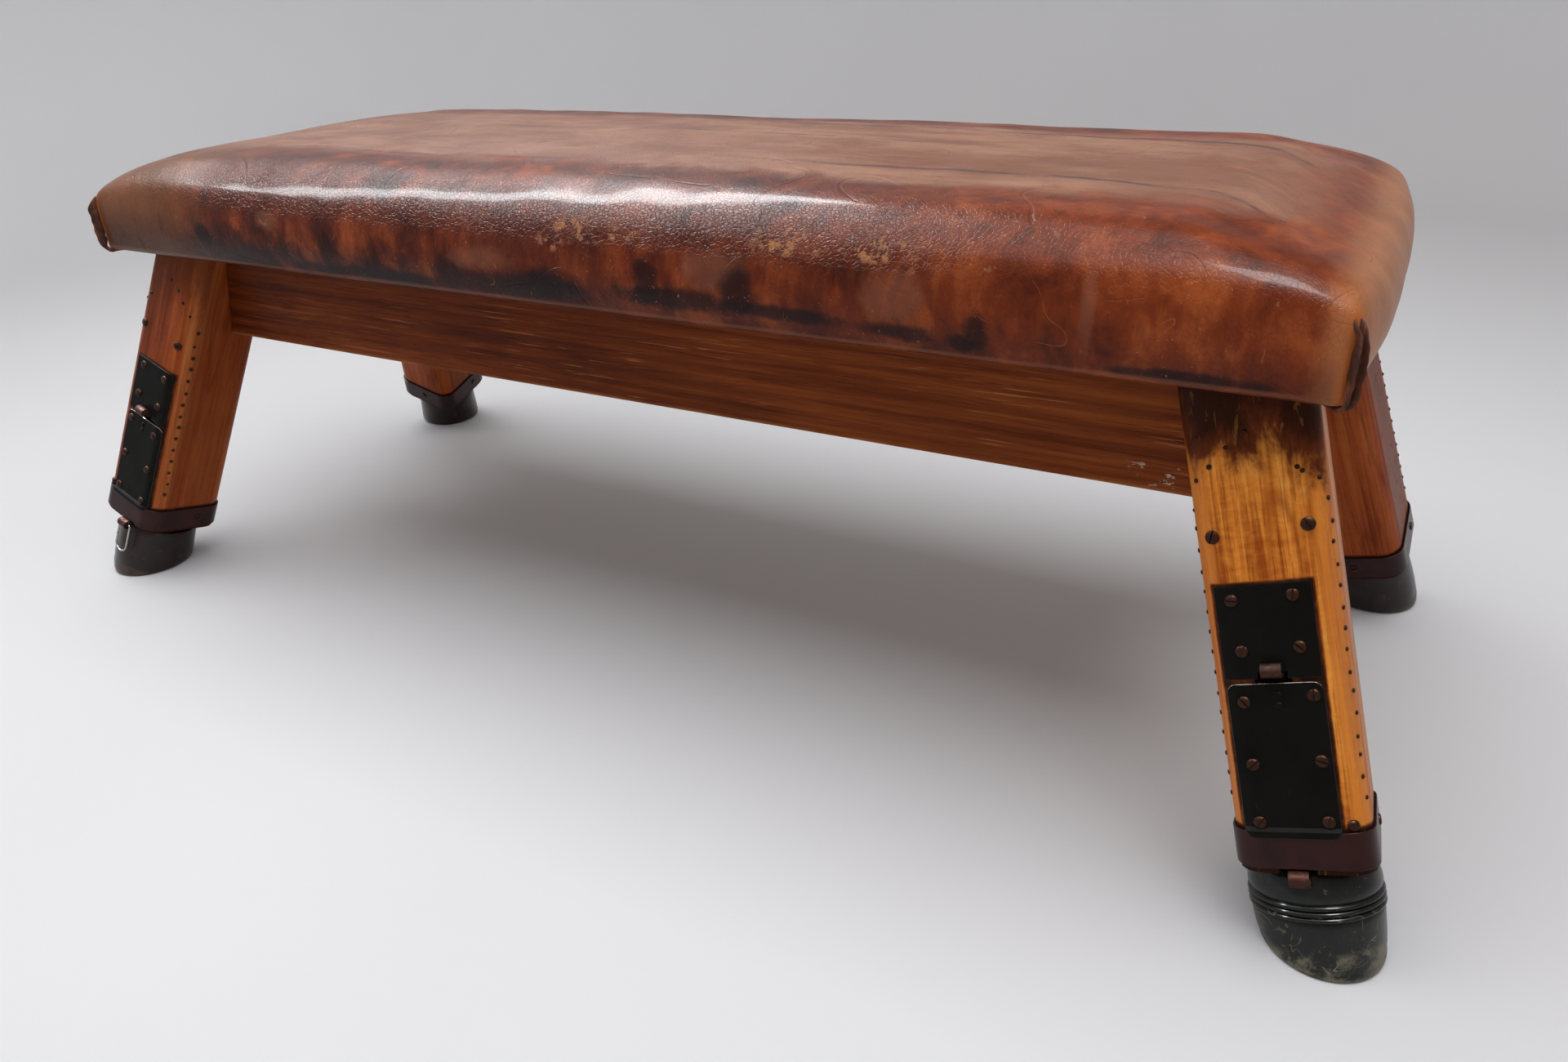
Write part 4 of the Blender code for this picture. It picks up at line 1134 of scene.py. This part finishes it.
def make_plate(leg, matrix, which, corner):
    """Thin plate that hugs the face and its inner corner; the lower one steps over the band."""
    low, high = local_box(leg + "_" + which, matrix)
    middle = (low.x + high.x) / 2
    half = (high.x - low.x) / 2
    upper = which == "upper_plate"
    latch_x = -side_sign(leg) * PLATE_OFFSET
    notch = (latch_x - NOTCH_WIDTH / 2, latch_x + NOTCH_WIDTH / 2)

    def column(u):
        return lambda pull: middle + u * (half - pull)

    shares = [(low.x + (high.x - low.x) * i / 24 - middle) / half for i in range(25)]
    if upper:
        shares = [u for u in shares if min(abs(middle + u * half - x) for x in notch) > 0.0012]
        shares = sorted(shares + [(x - middle) / half for x in notch])
    heights = [low.z, low.z + corner * 0.3, low.z + corner]
    if upper:
        heights.append(NOTCH_TOP)
    elif low.z < BAND[1]:
        heights = [low.z, low.z + 0.0015, BAND[1] + 0.0010, BAND[1] + 0.004]
    heights += [low.z + (high.z - low.z) * share for share in (0.4, 0.6, 0.8)]
    heights += [high.z - corner * share for share in (1, 0.6, 0.3, 0.1, 0)]
    levels = []
    for z in heights:
        near_end = min(z - low.z, high.z - z)
        levels.append((z, corner * (1 - quarter(near_end / corner)) if near_end < corner else 0.0))

    def depth_at(x, z):
        over_band = STEEL + GAP if z <= BAND[1] + 0.0011 else 0.0
        return face_depth(x) + GAP + over_band

    def present(j, i):
        inside = notch[0] - 0.0001 < middle + (shares[i] + shares[i + 1]) / 2 * half < notch[1] + 0.0001
        return not (upper and inside and heights[j + 1] < NOTCH_TOP + 0.0001)

    bm = bmesh.new()
    plate_into(bm, [column(u) for u in shares], levels, depth_at, present)
    loose = [vert for vert in bm.verts if not vert.link_faces]
    bmesh.ops.delete(bm, geom=loose, context="VERTS")
    obj = add_mesh(leg + "_" + which + "_skin", bm, PLATE_STEEL, matrix)
    obj.data.materials.append(PLATE_EDGE)
    smooth(obj, 30)
    bevel(obj, 0.0005, 60, material=1)
    place(obj, "frame", "plate_steel", leg + "_" + which)


# Outlines of the feet from the floor up, as (share of the height, radius)
CUP_PROFILE = (
    (0.0, 0.0478), (0.012, 0.0498), (0.05, 0.0512), (0.12, 0.0518), (0.32, 0.0514), (0.55, 0.0508),
    (0.78, 0.0499), (0.90, 0.0495), (0.955, 0.0489), (0.985, 0.0480), (1.0, 0.0470),
    (1.0, 0.0465), (0.985, 0.0461), (0.94, 0.0459),
)
BOOT_BASE = (
    (0.0, 0.0478), (0.010, 0.0497), (0.035, 0.0508), (0.060, 0.0511), (0.068, 0.0506), (0.080, 0.0508),
    (0.14, 0.0516), (0.22, 0.0522), (0.33, 0.0527), (0.41, 0.0531), (0.445, 0.0530), (0.460, 0.0524),
)
BOOT_RIDGE = (
    (0.0, 0.0529), (0.010, 0.0543), (0.024, 0.0549), (0.040, 0.0546), (0.052, 0.0534), (0.058, 0.0525),
)
RIDGE_STARTS = (0.470, 0.536, 0.602)
BOOT_DOME = (
    (0.672, 0.0527), (0.685, 0.0533), (0.720, 0.0539), (0.770, 0.0537), (0.830, 0.0529), (0.885, 0.0516),
    (0.930, 0.0501), (0.965, 0.0484), (0.990, 0.0470), (1.0, 0.0462),
)


def foot_profile(ridged):
    """Outline of a foot; the ridged one has three ridges under its dome."""
    if not ridged:
        return CUP_PROFILE
    ridges = [(start + share, radius) for start in RIDGE_STARTS for share, radius in BOOT_RIDGE]
    return (*BOOT_BASE, *ridges, *BOOT_DOME)


def make_foot(leg, matrix):
    """Turned foot: its rings lie flat on the floor at the bottom and square to the leg at the top."""
    ridged = leg == RIDGED_LEG
    slot, material, top = "cup_rubber", CUP_RUBBER, CUP_TOP
    if ridged:
        slot, material, top = "ridged_rubber", BOOT_RUBBER, BOOT_TOP
    level = matrix.to_3x3().inverted() @ Vector((0, 0, 1))
    across = (Vector((1, 0, 0)) - level * level.x).normalized()
    out = level.cross(across)
    rings = []
    for share, radius in foot_profile(ridged):
        tilt = max(0.0, 1 - share / FOOT_SQUARE_FROM) ** 1.5
        axis_x = Vector((1, 0, 0)).lerp(across, tilt).normalized()
        axis_y = Vector((0, 1, 0)).lerp(out, tilt).normalized()
        middle = Vector((0, 0, top * share))
        ring = [middle + (axis_x * math.cos(turn) + axis_y * math.sin(turn)) * radius for turn in around(72)]
        rings.append(ring)
    bm = bmesh.new()
    loft(bm, rings)
    obj = add_mesh(leg + "_foot_skin", bm, material, matrix)
    smooth(obj, 50)
    place(obj, leg + "_sliding_leg", slot, leg + "_foot")


def lever_path():
    """Middle line of the lever in (y, z): rolled top, strip inside the leg, rolled eye."""
    path = arc((PIVOT_Y, PIVOT_Z), ROLL, 190, -90, 24)
    path += arc((STRIP_Y + LEVER_BEND, PIVOT_Z - ROLL - LEVER_BEND), LEVER_BEND, 90, 180, 6)
    path += arc((STRIP_Y + LEVER_BEND, EYE[1] + EYE_ROLL + LEVER_BEND), LEVER_BEND, 180, 270, 6)
    return path + arc(EYE, EYE_ROLL, 90, -170, 24)


def make_lever(leg, matrix):
    """Bent steel strip of the latch, with a rolled top and a rolled eye."""
    middle = -side_sign(leg) * PLATE_OFFSET
    path = [Vector(point) for point in lever_path()]
    half = LEVER_WIDTH / 2
    rings = []
    for i, point in enumerate(path):
        along = direction(path, i)
        side = Vector((-along.y, along.x)) * STEEL / 2
        a, b = point + side, point - side
        corners = ((-half, *a), (half, *a), (half, *b), (-half, *b))
        rings.append([(middle + x, y, z) for x, y, z in corners])
    bm = bmesh.new()
    loft(bm, rings)
    obj = add_mesh(leg + "_latch_lever_skin", bm, LEVER_STEEL, matrix)
    smooth(obj, 30)
    bevel(obj, 0.0004, 60)
    place(obj, leg + "_latch", "lever_steel", leg + "_latch_lever")


def make_ring(leg, matrix):
    """Wire pull ring: a straight bar through the lever's eye and a hanging loop."""
    bar = Vector((-side_sign(leg) * PLATE_OFFSET, *EYE))
    bend = 0.003
    half, drop = RING_HALF_WIDTH, RING_DROP
    path = arc((half - bend, -bend), bend, 90, 0, 5)
    path += arc((0, half - drop), half, 0, -180, 28)
    path += arc((bend - half, -bend), bend, 180, 90, 5)
    rings = []
    for i, (x, z) in enumerate(path):
        along = (Vector(path[(i + 1) % len(path)]) - Vector(path[i - 1])).normalized()
        out = Vector((along.y, 0, -along.x))
        spot = bar + Vector((x, 0, z))
        offsets = [out * math.cos(turn) + Vector((0, 1, 0)) * math.sin(turn) for turn in around(12)]
        rings.append([spot + RING_WIRE * offset for offset in offsets])
    bm = bmesh.new()
    hoop(bm, rings)
    material = RING_STEEL if leg == "front_left" else DARK_RING_STEEL
    obj = add_mesh(leg + "_pull_ring_skin", bm, material, matrix)
    smooth(obj, 60)
    place(obj, leg + "_ring", "ring_wire", leg + "_pull_ring")


def make_leg(leg):
    """Everything that belongs to one leg."""
    matrix = leg_matrix(leg)
    honey = leg == RIDGED_LEG
    wood, slot = RED_WOODS[side_sign(leg)], "red_wood"
    if honey:
        wood, slot = HONEY_WOOD, "honey_wood"
    for board in ("face_board", "back_board", "end_board", "rail_board"):
        remake(leg + "_" + board, "frame", slot, wood, matrix, 0.0010)
    make_band(leg, matrix)
    make_plate(leg, matrix, "upper_plate", 0.0015)
    make_plate(leg, matrix, "lower_plate", 0.008)
    remake(leg + "_latch_spring", "frame", "spring_steel", SPRING_STEEL, matrix, 0.0002)
    remake(leg + "_post", leg + "_sliding_leg", "post_wood", POST_WOOD, matrix, 0.0008)
    make_foot(leg, matrix)
    make_lever(leg, matrix)
    remake(leg + "_latch_pin", leg + "_latch", "pin_steel", PIN_STEEL, matrix, 0.0004)
    if not honey:
        make_ring(leg, matrix)
    make_nails(leg, matrix)
    make_screws(leg, matrix)
    make_rivets(leg, matrix)


# ---------------------------------------------------------------- studio

def make_camera():
    """Camera that sees the horse as the photo does."""
    yaw, pitch, roll = (math.radians(a) for a in (CAMERA_YAW, CAMERA_PITCH, CAMERA_ROLL))
    right = Vector((math.cos(yaw), math.sin(yaw), 0))
    ahead = Vector((-math.sin(yaw) * math.cos(pitch), math.cos(yaw) * math.cos(pitch), -math.sin(pitch)))
    down = ahead.cross(right)
    tilted_right = right * math.cos(roll) + down * math.sin(roll)
    tilted_down = down * math.cos(roll) - right * math.sin(roll)
    data = bpy.data.cameras.new("camera")
    data.lens = CAMERA_LENS
    data.sensor_width = 36
    camera = bpy.data.objects.new("camera", data)
    bpy.context.scene.collection.objects.link(camera)
    turn = Matrix((tilted_right, -tilted_down, -ahead)).transposed().to_4x4()
    camera.matrix_world = Matrix.Translation(CAMERA_PLACE) @ turn
    bpy.context.scene.camera = camera


def make_studio():
    """Pale round floor that curves up into a wall, and the lights.

    A soft box lights everything; the window and the lamp only make the shine on the leather.
    """
    bm = bmesh.new()
    profile = [(1.2, 0.0), (2.6, 0.0)]
    profile += [(2.9 + x, 0.9 + z) for x, z in arc((0, 0), 0.9, -90, 0, 12)]
    profile += [(3.8, 1.6), (3.8, 2.8)]
    middle = bm.verts.new((0, 0, 0))
    previous = None
    for radius, z in profile:
        ring = [bm.verts.new((radius * math.cos(turn), radius * math.sin(turn), z)) for turn in around(96)]
        if previous:
            bridge(bm, previous, ring)
        else:
            for near, far in zip(ring, ring[1:] + ring[:1]):
                bm.faces.new((middle, near, far))
        previous = ring
    floor = add_mesh("studio", bm, make_floor())
    floor.data.shade_smooth()

    def area(name, place_at, target, size, power, colour):
        data = bpy.data.lights.new(name, "AREA")
        data.shape = "RECTANGLE"
        data.size, data.size_y = size
        data.energy = power
        data.color = colour
        light = bpy.data.objects.new(name, data)
        bpy.context.scene.collection.objects.link(light)
        aim = (Vector(target) - Vector(place_at)).to_track_quat("-Z", "Y").to_matrix().to_4x4()
        light.matrix_world = Matrix.Translation(place_at) @ aim
        return light

    area("softbox", (-0.1, -0.3, 2.6), (-0.1, -0.3, 0.0), (4.0, 2.2), 78, (0.975, 0.985, 1.0))
    window = area("window", (-1.75, 0.05, 2.2), (-1.75, 0.05, 0.0), (3.0, 0.42), 290, (0.95, 0.98, 1.0))
    window.rotation_euler = (0.0, 0.0, math.radians(45))
    lamp = area("lamp", (0.90, -0.55, 2.5), (0.8, -0.3, 0.2), (0.6, 0.7), 60, (1.0, 1.0, 1.0))
    for light in (window, lamp):
        light.visible_diffuse = False
    world = bpy.data.worlds.new("studio_light")
    bpy.context.scene.world = world
    world.use_nodes = True
    sky = world.node_tree.nodes["Background"]
    sky.inputs["Color"].default_value = (1.0, 0.86, 0.72, 1.0)
    sky.inputs["Strength"].default_value = 0.31
    bpy.context.scene.view_settings.view_transform = "Standard"


make_camera()
make_studio()
dress_top()
for leg_name in LEGS:
    make_leg(leg_name)
